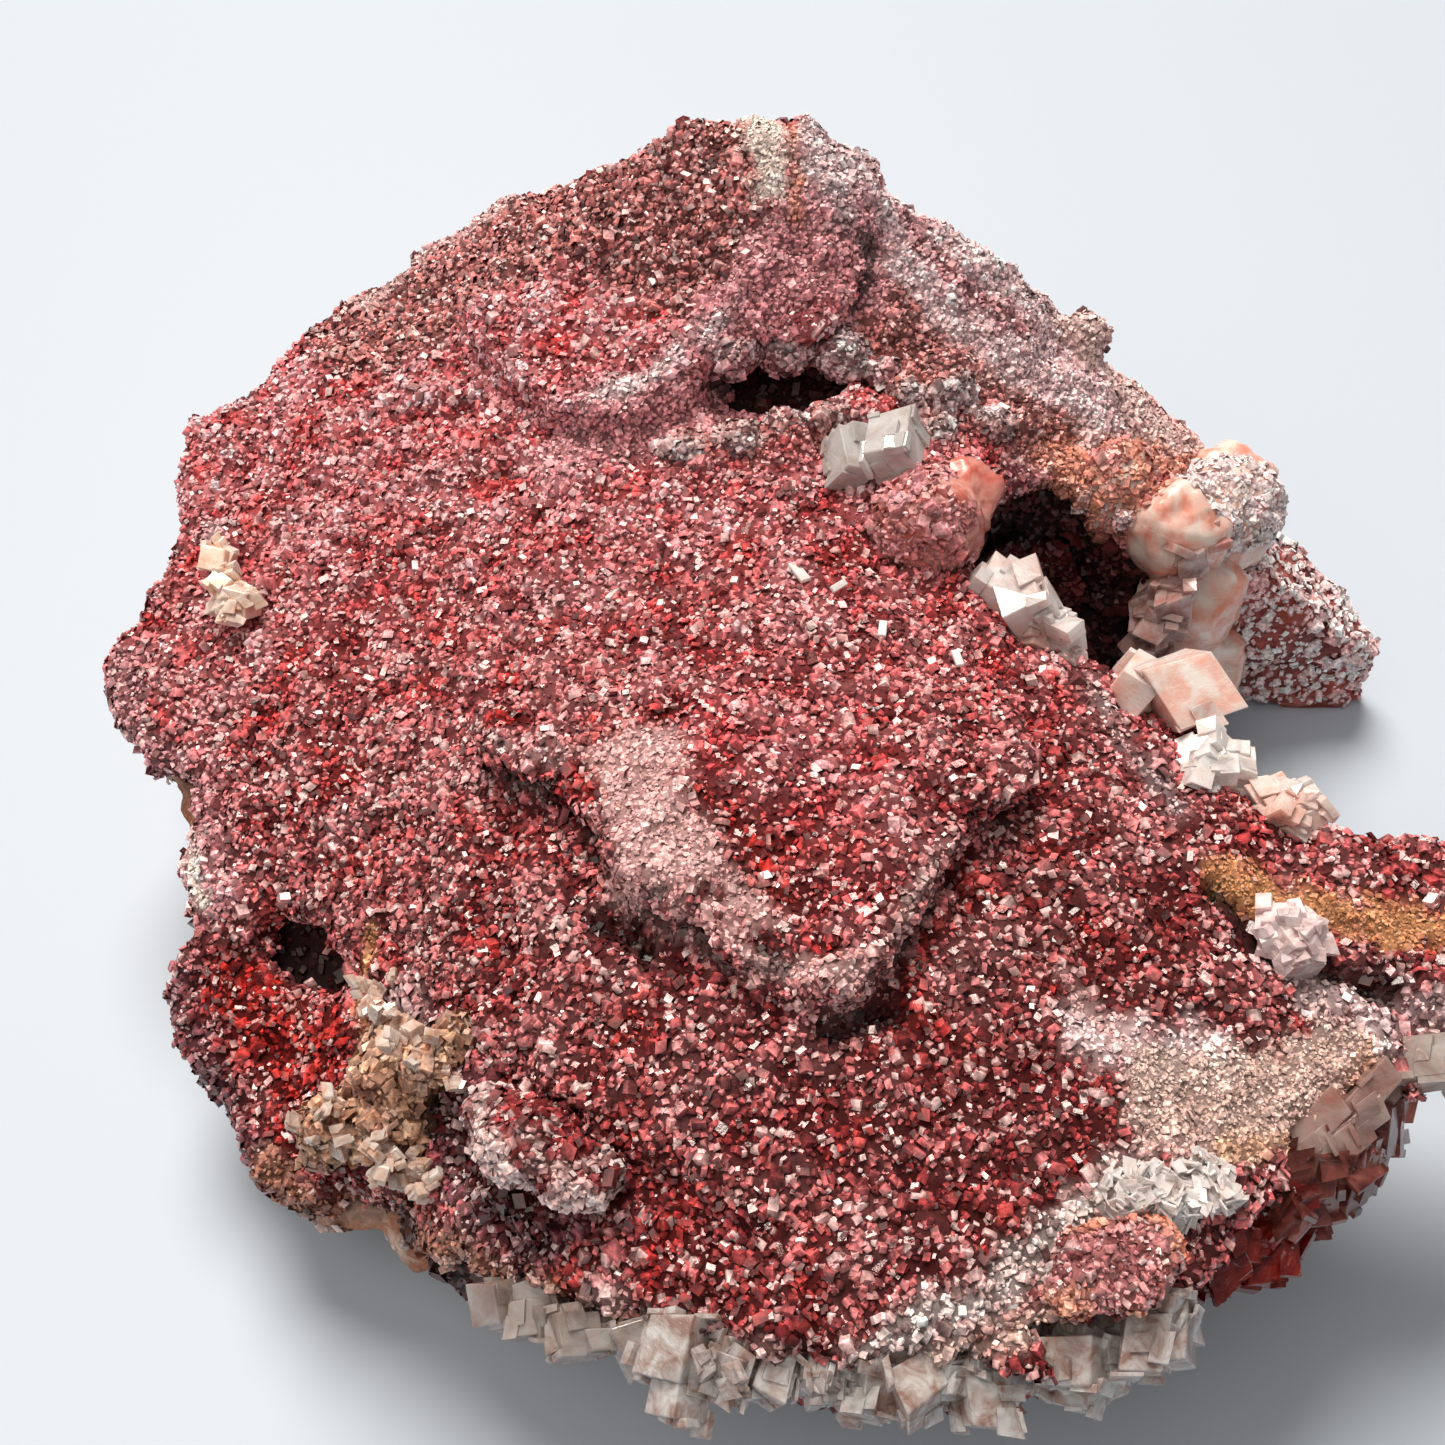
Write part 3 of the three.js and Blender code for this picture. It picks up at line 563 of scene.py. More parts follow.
def crystal_mesh(name, places, frames, sizes, tints, frost):
    """One mesh of many crystals. Sizes are their three edges, in metres."""
    edges = np.einsum("ij,njk->nik", EDGES, frames)
    corners = places[:, None, :] + np.einsum("ci,nij->ncj", CORNERS, sizes[:, :, None] * edges)
    sides = SIDES[None, :, :] + len(CORNERS) * np.arange(len(places))[:, None, None]
    mesh = bpy.data.meshes.new(name)
    mesh.from_pydata(corners.reshape(-1, 3), [], sides.reshape(-1, 4))
    mesh.shade_flat()
    shade = 1 + (SHADE[None, :] - 1) * (1 - FROST_EVENS * frost[:, None])
    colours = tints[:, None, :] * shade[:, :, None]
    paint(mesh, colours.reshape(-1, 3), np.repeat(frost, len(CORNERS)))
    return mesh


print("faces of a small crystal:", len(SIDES))

# %% [markdown]
# ## Where crystals can grow
# They grow on the squares of the net that look into the open. Squares that face the rock below stay bare: a
# ray from them meets the rock at once. A second ray, straight up, finds the squares under an overhang, whose
# crystals get little light and are painted darker, as painted shade.

# %% Open squares
def tree_of(*names):
    """A search tree of the faces of some solids."""
    shape = solids(*names)
    found = BVHTree.FromBMesh(shape)
    shape.free()
    return found


OVERHANGS = tree_of("red_druse_crust", "matrix")
OVERHANG_REACH = 12 * MM
OVERHANG_LIGHT = 0.25  # of the light that open squares get
UP = Vector((0, 0, 1))


def open_squares(mesh, covers, reach=2.5):
    """Middles and directions of the squares that look into the open, and the light they get.

    Squares with something right above them, under an overhang, get little light."""
    middles = get_array(mesh.polygons, "center")
    directions = get_array(mesh.polygons, "normal")
    clear = [
        covers.ray_cast(Vector(m) + 0.1 * MM * Vector(d), Vector(d), reach * MM)[0] is None
        for m, d in zip(middles, directions)
    ]
    middles, directions = middles[clear], directions[clear]
    sky = [
        OVERHANGS.ray_cast(Vector(m) + 1.2 * MM * Vector(d), UP, OVERHANG_REACH)[0] is None
        for m, d in zip(middles, directions)
    ]
    return middles, directions, np.where(sky, 1.0, OVERHANG_LIGHT)


rock_tree = tree_of("matrix")
red_squares = open_squares(crust, rock_tree)
print("squares in the open:", len(red_squares[0]), "of", len(crust.polygons))

# %% [markdown]
# ## The red druse
# More crystals grow on a square where they are small. Real ones differ in clearness, so each gets its own
# shade: some dark, some pale, a few nearly white. The pale ones also stand in for faces that flash white, as
# painted highlights. The sheet is split into meshes of a fair size, from front to back, so that no file of
# them gets too large.

# %% Grow the druse
DRUSE_EDGE = 0.58  # the usual edge of the red crystals in mm
LEAN = 50  # degrees that a crystal's axis leans at most
MOST = 32000  # crystals in one mesh
STRAY = 0.55  # how far crystals stray over their square, in squares
PALE_SHARE, DIM_SHARE = 0.18, 0.25
CLEAN = 0.45  # crystals with less frost than this can be pale or dim


def vary(tints, frost):
    """Gives single crystals their own shade: some dark, some pale, a few nearly white."""
    count = len(tints)
    roll = chance.random(count)
    out = tints * (1 + chance.uniform(-0.55, 0.5, count) * (1 - FROST_EVENS * frost))[:, None]
    # Painted highlight, in part: pale crystals differ in clearness and also stand in for faces that flash
    # white.
    pale = (roll < PALE_SHARE) & (frost < CLEAN)
    out[pale] += (TINTS["dusty"] - out[pale]) * chance.uniform(0.35, 1.0, pale.sum())[:, None]
    dim = (roll > 1 - DIM_SHARE) & (frost < CLEAN)
    out[dim] += (TINTS["dark"] - out[dim]) * 0.8
    return out.clip(0, 1)


def grow(name, squares, net, edge, look, crowd):
    """Grows crystals on squares of a net and splits them into meshes of a fair size.

    Edge is their usual edge in millimetres, look gives their tint, frost and size at any place,
    and crowd tells how many of them cover a patch as wide as one crystal."""
    middles = squares[0]
    _, _, scale = look(middles)
    number = crowd * (net / edge / scale) ** 2
    number = (number + chance.random(len(middles))).astype(int)
    middles, directions, light = (np.repeat(item, number, axis=0) for item in squares)
    count = len(middles)
    aside = chance.uniform(-STRAY, STRAY, (count, 3)) * net * MM
    aside -= (aside * directions).sum(axis=1, keepdims=True) * directions
    middles = middles + aside
    tints, frost, scale = look(middles)
    size = edge * MM * scale * np.exp(chance.normal(0, 0.3, count)).clip(0.5, 2.1)
    places = middles + (size * chance.uniform(-0.3, 0.3, count))[:, None] * directions
    sizes = size[:, None] * chance.uniform(0.5, 1.35, (count, 3))
    frames = crystal_frames(directions, LEAN)
    # Painted shade: crystals under an overhang are darkened to OVERHANG_LIGHT of their tint.
    tints = vary(tints, frost) * light[:, None]
    order = np.argsort(middles[:, 1], kind="stable")
    parts = np.array_split(order, max(1, -(-count // MOST)))
    return [
        crystal_mesh(f"{name}_{i + 1}", places[p], frames[p], sizes[p], tints[p], frost[p])
        for i, p in enumerate(parts)
    ]


for mesh in grow("red_druse", red_squares, CRUST_NET, DRUSE_EDGE, patch_colours, 0.63):
    make_piece(mesh.name, mesh, RED_DRUSE)

# %% [markdown]
# ## The rock's shape
# The matrix is tan to grey-brown stone, broken on the sides and below. Its net gets flat-sided lumps like
# those of broken stone, made from the creases between random cells, on top of rounder ones. The face it rests
# on stays flat. Its hollows are painted dark, as painted shade, its foot dusky mauve, and rust runs in stains
# elsewhere.

# %% Broken faces
ROCK_NET = 1.75
HOLLOWS = [(34, 19, 22, 25), (-4, 43.8, 16, 9.5), (-63.5, -29, 12.5, 8), (-38, -67, 9, 5)]  # x, y, radii


def facet_noise(points, size, seed=0.0):
    """Distance-like noise with flat sides and sharp creases, as on broken stone."""
    scale = 1 / (size * MM)
    found = []
    for p in points:
        spot = (p[0] * scale + seed, p[1] * scale, p[2] * scale)
        near = noise.voronoi(spot)[0]
        found.append(near[1] - near[0])
    return np.array(found)


def in_hollow(points):
    """Tells which points lie in the cave or in one of the dark hollows, by their ground plans."""
    x, y, _ = (points / MM).T
    return np.any([((x - a) / wide) ** 2 + ((y - b) / deep) ** 2 < 1 for a, b, wide, deep in HOLLOWS], axis=0)


def on_foot(points):
    """Tells which points lie on the rear foot, at the right."""
    x, y, _ = (points / MM).T
    return (x > 52) & (y > 10)


rock = even_net(solids("matrix"), ROCK_NET, 3)
points = get_array(rock.vertices, "co")
resting = (points[:, 2] / MM / 2).clip(0, 1)
push(rock, resting * (3.4 * facet_noise(points, 12, 5.0) + 1.5 * facet_noise(points, 5, 9.0)
                      + 0.6 * waves(points, 2.5, 3.0) - 2.0))
rock.shade_smooth()
points = get_array(rock.vertices, "co")
rust = (0.3 + 1.6 * waves(points, 10, 61.0)).clip(0, 0.6)
stained = ((5.5 - distance_to(STAIN, points)) / 2).clip(0, 1)
stain = np.repeat(TINTS["stain"][None, :], len(points), axis=0)
amount = np.maximum(rust, stained)
hollow, foot = in_hollow(points), on_foot(points)
# Painted shade: the rock in the hollows and the cave is painted dark at full strength, in place of the rust.
stain[hollow] = TINTS["dark"] * 0.5
amount[hollow] = 1
stain[foot] = TINTS["dusk"] * 3.4
amount[foot] = 0.9
paint(rock, stain, amount)
print("corners in the hollows:", hollow.sum())

# %% [markdown]
# ## The rock's finish
# Broken limestone is dull and sandy. An image of stone would do, but its grain would not know the rock's
# size. Here noise of 14 mm mixes tan, grey and rust, breaks a few millimetres wide tilt the light, and a
# grain just under a millimetre roughens it. The painted stain, with the painted shade of the hollows,
# multiplies the tan.

# %% Stone
def stone(name):
    """Iron-stained broken rock: tan, grey and rust, dull, with a sandy grain."""
    material, tree, shader = new_material(name)
    place = add_node(tree, "ShaderNodeTexCoord").outputs["Object"]
    wide = add_node(tree, "ShaderNodeTexNoise", links={
        "Vector": place, "Scale": per_size(14), "Detail": 6.0, "Roughness": 0.62})
    fine = add_node(tree, "ShaderNodeTexNoise", links={
        "Vector": place, "Scale": per_size(0.9), "Detail": 5.0, "Roughness": 0.7})
    breaks = add_node(tree, "ShaderNodeTexVoronoi", {"distance": "CHEBYCHEV"}, {
        "Vector": add_node(tree, "ShaderNodeMapping", links={
            "Vector": place, "Rotation": (0.5, 0.3, 0.8), "Scale": (1, 1, 1.6)}).outputs["Vector"],
        "Scale": per_size(3.5)})
    ramp = add_node(tree, "ShaderNodeValToRGB", links={"Fac": wide.outputs["Fac"]})
    stops = ramp.color_ramp.elements
    stops[0].position, stops[0].color = 0.32, linear("#6E5450")
    stops[1].position, stops[1].color = 0.68, linear("#E3C6B2")
    for position, code in ((0.42, "#947268"), (0.5, "#BE9A88"), (0.57, "#B97B5C"), (0.6, "#CBA892")):
        stops.new(position).color = linear(code)
    grain = add_node(tree, "ShaderNodeMix", {"data_type": "RGBA", "blend_type": "OVERLAY"}, {"Factor": 0.7})
    tree.links.new(ramp.outputs["Color"], grain.inputs[6])
    tree.links.new(fine.outputs["Fac"], grain.inputs[7])
    facets = add_node(tree, "ShaderNodeBump", links={
        "Height": breaks.outputs["Distance"], "Strength": 0.8, "Distance": 2.2 * MM})
    bump = add_node(tree, "ShaderNodeBump", links={
        "Height": fine.outputs["Fac"], "Strength": 0.8, "Distance": 0.5 * MM,
        "Normal": facets.outputs["Normal"]})
    # The tint attribute carries the rust stains, the foot's mauve and the painted shade of the hollows.
    stain = add_node(tree, "ShaderNodeAttribute", {"attribute_name": "tint"})
    rusty = add_node(tree, "ShaderNodeMix", {"data_type": "RGBA", "blend_type": "MULTIPLY"}, {
        "Factor": stain.outputs["Alpha"]})
    tree.links.new(grain.outputs[2], rusty.inputs[6])
    tree.links.new(stain.outputs["Color"], rusty.inputs[7])
    tree.links.new(rusty.outputs[2], shader.inputs["Base Color"])
    tree.links.new(bump.outputs["Normal"], shader.inputs["Normal"])
    shader.inputs["Roughness"].default_value = 0.8
    return material


# Broken limestone stained by iron: dull, sandy, tan to rust.
ROCK = stone("iron_stained_broken_rock")
make_piece("broken_rock", rock, ROCK, ["matrix"])

# %% [markdown]
# ## Crystals on the rock
# The rock is not bare everywhere. The foot at the right rear is covered with mauve-grey druse, the lumps low
# in front with dark red druse, the hollows with crystals painted dark as painted shade, and the broken sides
# carry a thin scatter of small dull ones. The same growing function is used, with its own colours by place.

# %% Druse on the rock
BARE = 0.7  # the size of the scattered crystals on broken faces, against the others


def rock_colours(points):
    """The tint, frost and size of the crystals on the rock."""
    x, y, z = (points / MM).T
    foot = on_foot(points)
    low_front = (y < -40) & (z < 26) & (x > -28) & (x < 34)
    dark = in_hollow(points)
    cave = dark & (x > 12)
    blend = (0.5 + 0.9 * waves(points, 6, 31.0)).clip(0, 1)[:, None]
    tints = TINTS["beige"] * 0.7 + (TINTS["grey"] * 0.6 - TINTS["beige"] * 0.7) * blend
    tints[foot] = (TINTS["mauve"] + (TINTS["rose"] - TINTS["mauve"]) * blend * 0.7)[foot] * 1.4
    tints[low_front] = (TINTS["deep"] * 0.8 + (TINTS["dark"] - TINTS["deep"]) * blend * 0.6)[low_front]
    # Painted shade: crystals in the hollows are painted dark, those in the cave darker still.
    tints[dark] = (TINTS["dark"] * (0.3 + 0.7 * blend))[dark]
    tints[cave] = (TINTS["deep"] * (0.05 + 0.4 * blend))[cave]
    frost = np.where(low_front, 0.1, 0.6)
    size = np.where(low_front, 1.0, np.where(foot | dark, 0.6, BARE))
    return tints, frost, size


def rock_cover(squares):
    """Keeps the squares on which crystals have grown: all in the hollows, some on broken faces."""
    middles, directions, _ = squares
    _, _, scale = rock_colours(middles)
    share = np.where(scale != BARE, 1, 0.15 + 0.6 * waves(middles, 9, 7.0))
    keep = (chance.random(len(middles)) < share) & (middles[:, 2] > 1.5 * MM)
    return middles[keep], directions[keep], np.ones(keep.sum())


cover_tree = tree_of("red_druse_crust", "orange_pink_lobes", "cave_crystal_lining", "round_pink_lobe")
squares = rock_cover(open_squares(rock, cover_tree, 1.5))
for mesh in grow("rock_druse", squares, ROCK_NET, 1.3, rock_colours, 0.46):
    make_piece(mesh.name, mesh, ROCK_DRUSE)

# %% [markdown]
# ## The cave's lining
# The cave is lined with a crust of small crystals, painted dark as painted shade. A dark hole would look the
# same from far, but light from the side reaches in. The lining's solid becomes an even net like the crust,
# with larger crystals on it.

# %% Cave
lining = even_net(solids("cave_crystal_lining"), 1.0, 1)
lining.shade_smooth()
points = get_array(lining.vertices, "co")
# Painted shade: the lining between the crystals is painted at 0.6 of their darkened tint.
paint(lining, rock_colours(points)[0] * 0.6, np.zeros(len(points)))
make_piece("cave_lining", lining, CRUST_BODY, ["cave_crystal_lining"])
for mesh in grow("cave_druse", open_squares(lining, rock_tree, 1.5), 1.0, 1.1, rock_colours, 0.5):
    make_piece(mesh.name, mesh, ROCK_DRUSE)

# %% [markdown]
# ## One broken crystal
# Each larger crystal is a rhombohedron that has split along its cleavage and has smaller ones grown
# on it. One sheared cube would look like a brick. So a sheared cube is only the core, with a narrow
# bevel that catches the light, and smaller blocks with nearly the same slant are set into its
# faces, which gives the stepped, jagged look of broken calcite.

# %% Broken crystals
CORE_BEVEL = 0.12


def pose_matrix(place, edges, lean, toward, spin):
    """Turns a unit cube into a crystal: its edges slanted, leaning and spun, at its place."""
    slant = Matrix([
        [sin(polar) * cos(2 * pi * i / 3 + radians(spin)) * edges[i] * MM for i in range(3)],
        [sin(polar) * sin(2 * pi * i / 3 + radians(spin)) * edges[i] * MM for i in range(3)],
        [cos(polar) * edges[i] * MM for i in range(3)],
    ]).to_4x4()
    axis = Vector((-sin(radians(toward)), cos(radians(toward)), 0))
    return Matrix.Translation(Vector(place) * MM) @ Matrix.Rotation(radians(lean), 4, axis) @ slant


def add_block(shape, matrix, bevel=0):
    """One crystal block, its edges sharp or narrowly bevelled."""
    made = bmesh.ops.create_cube(shape, size=1, matrix=matrix)
    if not bevel:
        return
    edges = list({edge for corner in made["verts"] for edge in corner.link_edges})
    bmesh.ops.bevel(shape, geom=edges, offset=bevel * MM, offset_type="OFFSET", affect="EDGES",
                    segments=1, profile=0.5, material=-1)


def broken_crystal(shape, matrix, bits, size, turn, flat, core):
    """A core with smaller blocks set into its faces.

    Size is their usual width in mm, turn how many degrees they stray from the core's slant, and
    flat how thin they are against their width."""
    add_block(shape, matrix @ Matrix.Diagonal((core, core, core, 1)), CORE_BEVEL)
    slant = matrix.to_3x3().to_4x4()
    edges = [column.length / MM for column in matrix.to_3x3().col]
    for _ in range(bits):
        side = chance.integers(3)
        middle = chance.uniform(-0.42, 0.42, 3)
        width = [min(0.8, size * chance.uniform(0.6, 1.5) / edge) for edge in edges]
        width[side] *= flat
        middle[side] = chance.choice([-1, 1]) * (0.5 - 0.35 * width[side])
        stray = Matrix.Rotation(radians(chance.normal(0, turn)), 4, Vector(chance.normal(size=3)))
        place = Matrix.Translation(matrix @ Vector(middle))
        add_block(shape, place @ stray @ slant @ Matrix.Diagonal((*width, 1)))


def warp(shape, amount, size):
    """Bends the blocks a little, so that no two faces stay quite parallel."""
    for corner in shape.verts:
        corner.co += noise.noise_vector(corner.co / (size * MM)) * amount * MM


print("the core's bevel:", CORE_BEVEL, "mm")

# %% [markdown]
# ## Groups of crystals
# A group is a few crystals listed one by one, or many strewn along a path, or both. A group that has a solid
# in the part replaces it. The others are small extra crystals of another colour, grown among those of such a
# group.

# %% Groups
def along(path, count, smallest, largest, stray=1.0, lean=90, toward=None, spin=None):
    """Crystals set along a path of points in mm: their places, edges and turns.

    Without a spin they are turned at random, with one they lie nearly parallel."""
    path = np.array(path, float)
    spots = np.linspace(0, len(path) - 1, count) + chance.uniform(-0.3, 0.3, count)
    spots = spots.clip(0, len(path) - 1)
    found = []
    for spot in spots:
        place = [np.interp(spot, range(len(path)), path[:, axis]) for axis in range(3)]
        edges = chance.uniform(smallest, largest) * chance.uniform(0.75, 1.2, 3)
        facing = chance.uniform(0, 360) if toward is None else toward + chance.normal(0, 35)
        tilt = lean * sqrt(chance.random()) if spin is None else lean + chance.normal(0, 9)
        turned = chance.uniform(0, 120) if spin is None else spin + chance.normal(0, 12)
        found.append((tuple(place + chance.normal(0, stray, 3)), tuple(edges), tilt, facing, turned))
    return found


def crystal_group(name, crystals, material, bits, size, turn, flat, core=0.84, solid=True):
    """A piece of several broken crystals, in place of the solid of that name if there is one."""
    shape = bmesh.new()
    for place, edges, lean, toward, spin in crystals:
        edges = edges if isinstance(edges, tuple) else (edges, edges, edges)
        broken_crystal(shape, pose_matrix(place, edges, lean, toward, spin), bits, size, turn, flat, core)
    warp(shape, 0.5, 3)
    mesh = bpy.data.meshes.new(name)
    bmesh.ops.recalc_face_normals(shape, faces=shape.faces)
    shape.to_mesh(mesh)
    shape.free()
    mesh.shade_flat()
    make_piece(name, mesh, material, [name] if solid else [])


# %% [markdown]
# ## The red corner
# At the right front big rhombs jut out below the crust. Iron colours them from wine red to rose,
# the thinner the paler, and light passes through them. They have split into plates that lie nearly
# parallel, and the broken ends of the plates make a jagged edge.

# %% Red, plum and rose crystals
# Clear calcite tinted brown-red by iron: glassy, light passes through and comes out wine red.
RED_CLEAR = calcite("iron_red_clear_calcite", "#72100B", "#B0382E", rough=0.12, clear=0.55, veil=4)
# The same with less iron: brownish rose slabs, clear enough to show the layers inside.
ROSE_CLEAR = calcite("iron_rose_clear_calcite", "#D49A8E", "#F2D2CA", rough=0.08, clear=0.55,
                     milky=0.5, veil=3.5)
# In between: brown plum, thick and glassy, with red edges.
PLUM_CLEAR = calcite("iron_plum_clear_calcite", "#5E211C", "#B56A60", rough=0.1, clear=0.6, veil=4)
crystal_group("red_bladed_rhombs", [
    ((40.2, -67.7, 31.5), (12, 9, 8), 70, -60, 10), ((46.2, -64.7, 33.5), (11, 9, 7), 65, -50, 45),
    ((43.2, -63.7, 27), (10, 9, 7), 80, -70, 30),
    *along([(37, -72, 36), (42, -69, 34), (48, -66, 34)], 10, 4, 7, 0.8, 80, -60),
], RED_CLEAR, bits=14, size=3, turn=4, flat=0.25, core=0.85)
crystal_group("plum_bladed_rhombs", [
    ((51.2, -60.7, 36), (12, 8, 5), 75, -50, 20), ((49.2, -62.7, 36.5), (9, 7, 5), 70, -55, 30),
    *along([(47, -65, 36), (53, -61, 36), (58, -57, 35)], 12, 4, 7, 0.8, 75, -50, 25),
], PLUM_CLEAR, bits=12, size=2.6, turn=5, flat=0.25, core=0.9, solid=False)
crystal_group("rose_cleavage_slabs", [
    ((58, -53.5, 39.5), (8.5, 8, 3.5), 60, -30, 70), ((56.5, -56.5, 38.5), (7, 7, 3), 68, -38, 62),
    ((60, -52, 37.5), (6, 7, 4), 70, -25, 80), ((54, -59, 38.5), (5, 6, 2.6), 60, -45, 58),
    ((53, -56.5, 39), (7, 7, 3.5), 50, -40, 66), ((51, -60, 38.5), (6, 6, 3), 55, -50, 60),
], ROSE_CLEAR, bits=8, size=2.8, turn=4, flat=0.15, core=0.95, solid=False)

# %% [markdown]
# ## The front rim
# The front edge has broken through white and nearly clear calcite. The splinters on the rim lean
# out over the edge side by side. Behind them lies a patch of chalky white crystals, small and
# turned at random, and clear rhombs stand at the left end and below the arm.

# %% White and clear crystals
# Half-clear whitish calcite in splintered plates.
SPLINTERED = calcite("splintered_calcite", "#B08C80", "#FFFCFA", rough=0.1, clear=0.4, milky=0.5, veil=2.2)
# Nearly clear calcite, with milky veils.
CLEAR = calcite("clear_calcite_cleavage", "#C8A090", "#FFF6F0", rough=0.1, clear=0.65, milky=0.4, veil=4)
FRONT_RIM = [(-16, -79, 34), (-10, -81, 35), (-4, -82, 35.5), (2, -82.5, 35.5), (7, -82, 35.5),
             (13, -82, 36), (19, -82, 36), (26, -81, 37), (31, -78, 38)]
CHALKY_PATCH = [(28, -68, 44), (32, -67.5, 44.5), (36, -66.5, 44), (39, -65.5, 43)]
LEFT_END = [(-35.5, -73, 30), (-30, -75.5, 31.5), (-25, -77, 32.5), (-19, -78.5, 33.5)]
crystal_group("white_cleaved_calcite",
              along(FRONT_RIM, 40, 3.2, 6.2, 1.2, 62, -95, 20) + along(FRONT_RIM, 30, 1.8, 3.2, 1.6, 90, -90),
              SPLINTERED, bits=8, size=1.9, turn=7, flat=0.3, core=0.86)
crystal_group("chalky_white_calcite", along(CHALKY_PATCH, 14, 2.2, 5.5, 0.8, 60),
              WHITE, bits=44, size=1.3, turn=40, flat=0.14, core=0.5, solid=False)
crystal_group("clear_front_rhombs", along(LEFT_END, 14, 2.6, 5, 0.6, 70, -100, 40),
              CLEAR, bits=5, size=2, turn=4, flat=0.3, core=0.93)
crystal_group("arm_clear_rhombs", [
    ((65.2, -51.2, 42), 5.5, 50, -80, 20), ((70.2, -51.7, 41), 5.5, 60, -70, 50),
    ((75.2, -50.7, 40), 5, 55, -60, 0), ((72.2, -50.2, 38), 5, 70, -70, 30),
], CLEAR, bits=8, size=2.4, turn=4, flat=0.5)

# %% [markdown]
# ## Single rhombs
# Around the cave's mouth and along the notch beside it, single blocky rhombs stand on the crust:
# grey to white ones that light enters, pink ones, and a clump dulled by a fine sugar of crystals.
# Each is given its own place, because the eye takes them one by one.

# %% Rhombs around the cave
# Pale calcite, grey to cream and partly see-through.
PALE = calcite("pale_translucent_calcite", "#D8CAC4", "#FFFFFF", rough=0.14, clear=0.4, milky=0.3, veil=4)
# The same with a pink base, beside the cave.
BLUSH = calcite("blush_translucent_calcite", "#F0C2B6", "#FFFFFF", rough=0.16, clear=0.25, milky=0.4, veil=5)
# Pink calcite: smooth faces, light glows pink inside.
PINK = calcite("pink_translucent_calcite", "#FABFAF", "#FFF2EC", rough=0.22, clear=0.1, milky=0.5, veil=4)
# Frosted calcite: a fine sugar of crystals dulls it to mauve pink.
FROSTED = calcite("frosted_mauve_calcite", "#DDB4B4", "#FBEDEC", rough=0.4, milky=0.4, relief=0.3)
# Cream calcite with a touch of iron, waxy rather than glassy.
CREAM = calcite("cream_waxy_calcite", "#F2C4A8", "#FFEFE2", rough=0.3, milky=0.4)

crystal_group("pale_rhomb_pair", [
    ((11.2, 30, 60), (6.2, 5.8, 8), 35, -70, 15), ((5.2, 29.3, 58.2), (4.6, 5, 6.5), 50, -100, 40),
], PALE, bits=12, size=2.4, turn=4, flat=0.4, core=0.92)
crystal_group("cave_mouth_rhombs", [
    ((23.7, 12.8, 50), 6.5, 40, 200, 10), ((27.2, 8.8, 51.5), 6.5, 35, -60, 35),
    ((32.2, 5.8, 49), 5, 50, 20, 50), ((29.2, 7.3, 47), 6.5, 20, 90, 70),
], BLUSH, bits=12, size=2.4, turn=5, flat=0.5)
crystal_group("pink_block_rhomb", [
    ((46.2, -2.7, 48), (10, 9, 8), 30, 40, 20), ((40.2, -2.2, 48), (6, 5.5, 6), 40, 180, 10),
], PINK, bits=7, size=3.2, turn=3, flat=0.3, core=0.95)
crystal_group("white_block_cluster", [
    ((47.2, -12.7, 47), 5, 30, -80, 20), ((50.2, -14.7, 46), 5, 45, -40, 5),
    ((46.2, -15.2, 47), 3.8, 25, 120, 60),
], WHITE, bits=16, size=2.2, turn=8, flat=0.9, core=0.8)
crystal_group("pale_pink_blocks", [
    ((54.2, -17.7, 45), 5.2, 35, 60, 10), ((57.7, -19.7, 46), 4.6, 20, 0, 35),
    ((55.2, -20.7, 46), 5, 45, 90, 60),
], PINK, bits=12, size=2.2, turn=10, flat=0.9)
crystal_group("frosted_clump", [
    ((50.2, -37.7, 48.2), 4.4, 30, -60, 0), ((53.2, -38.7, 47.6), 4, 40, 20, 30),
    ((51.2, -40.7, 47.2), 4, 50, -100, 60),
], FROSTED, bits=30, size=1.5, turn=25, flat=0.9, core=0.75)
crystal_group("left_pale_cluster",
              along([(-82, 27, 44), (-81, 20, 44), (-77, 14, 43.5), (-77, 18, 44.5)], 9, 2.2, 4.0, 0.8, 60),
              CREAM, bits=5, size=1.6, turn=15, flat=0.6, core=0.85)

# %% [markdown]
# ## Lobes
# Beside the cave the calcite has grown as rounded, glowing lobes rather than sharp crystals. Balls
# pushed together would look like soap. So the solids are remeshed finely, smoothed until the
# facets are gone, and given low swellings and dull flats. Fine sugar covers parts of them, and
# glassy blocks stand on the pillar.

# %% Lobes beside the cave
LOBE_NET = 0.8
SKIN_CROWD = 0.8


def lobes(name, material):
    """Lobes with dull flats, in place of a node's faceted balls."""
    mesh = even_net(solids(name), LOBE_NET, 3)
    places = get_array(mesh.vertices, "co")
    push(mesh, 0.7 * waves(places, 5, 6.0) - 1.6 * facet_noise(places, 5.5, 2.0)
         - 0.5 * facet_noise(places, 2.2, 12.0) + 0.2 * waves(places, 1.2, 16.0) + 1.0)
    mesh.shade_smooth()
    make_piece(name, mesh, material, [name])
    return mesh


def skin(name, mesh, net, edge, look, where=None):
    """Grows fine crystals on a mesh, all over or where the function says so."""
    squares = open_squares(mesh, rock_tree, 0.6)
    if where:
        chosen = where(squares[0] / MM)
        squares = [item[chosen] for item in squares]
    for part in grow(name, squares, net, edge, look, SKIN_CROWD):
        make_piece(part.name, part, SUGAR)


def blend_of(first, second, size, frost=0.5):
    """A look that drifts between two tints over the given distance."""
    def look(points):
        share = (0.5 + 1.4 * waves(points, size, 71.0)).clip(0, 1)[:, None]
        tints = TINTS[first] + (TINTS[second] - TINTS[first]) * share
        return tints, np.full(len(points), frost), np.ones(len(points))
    return look


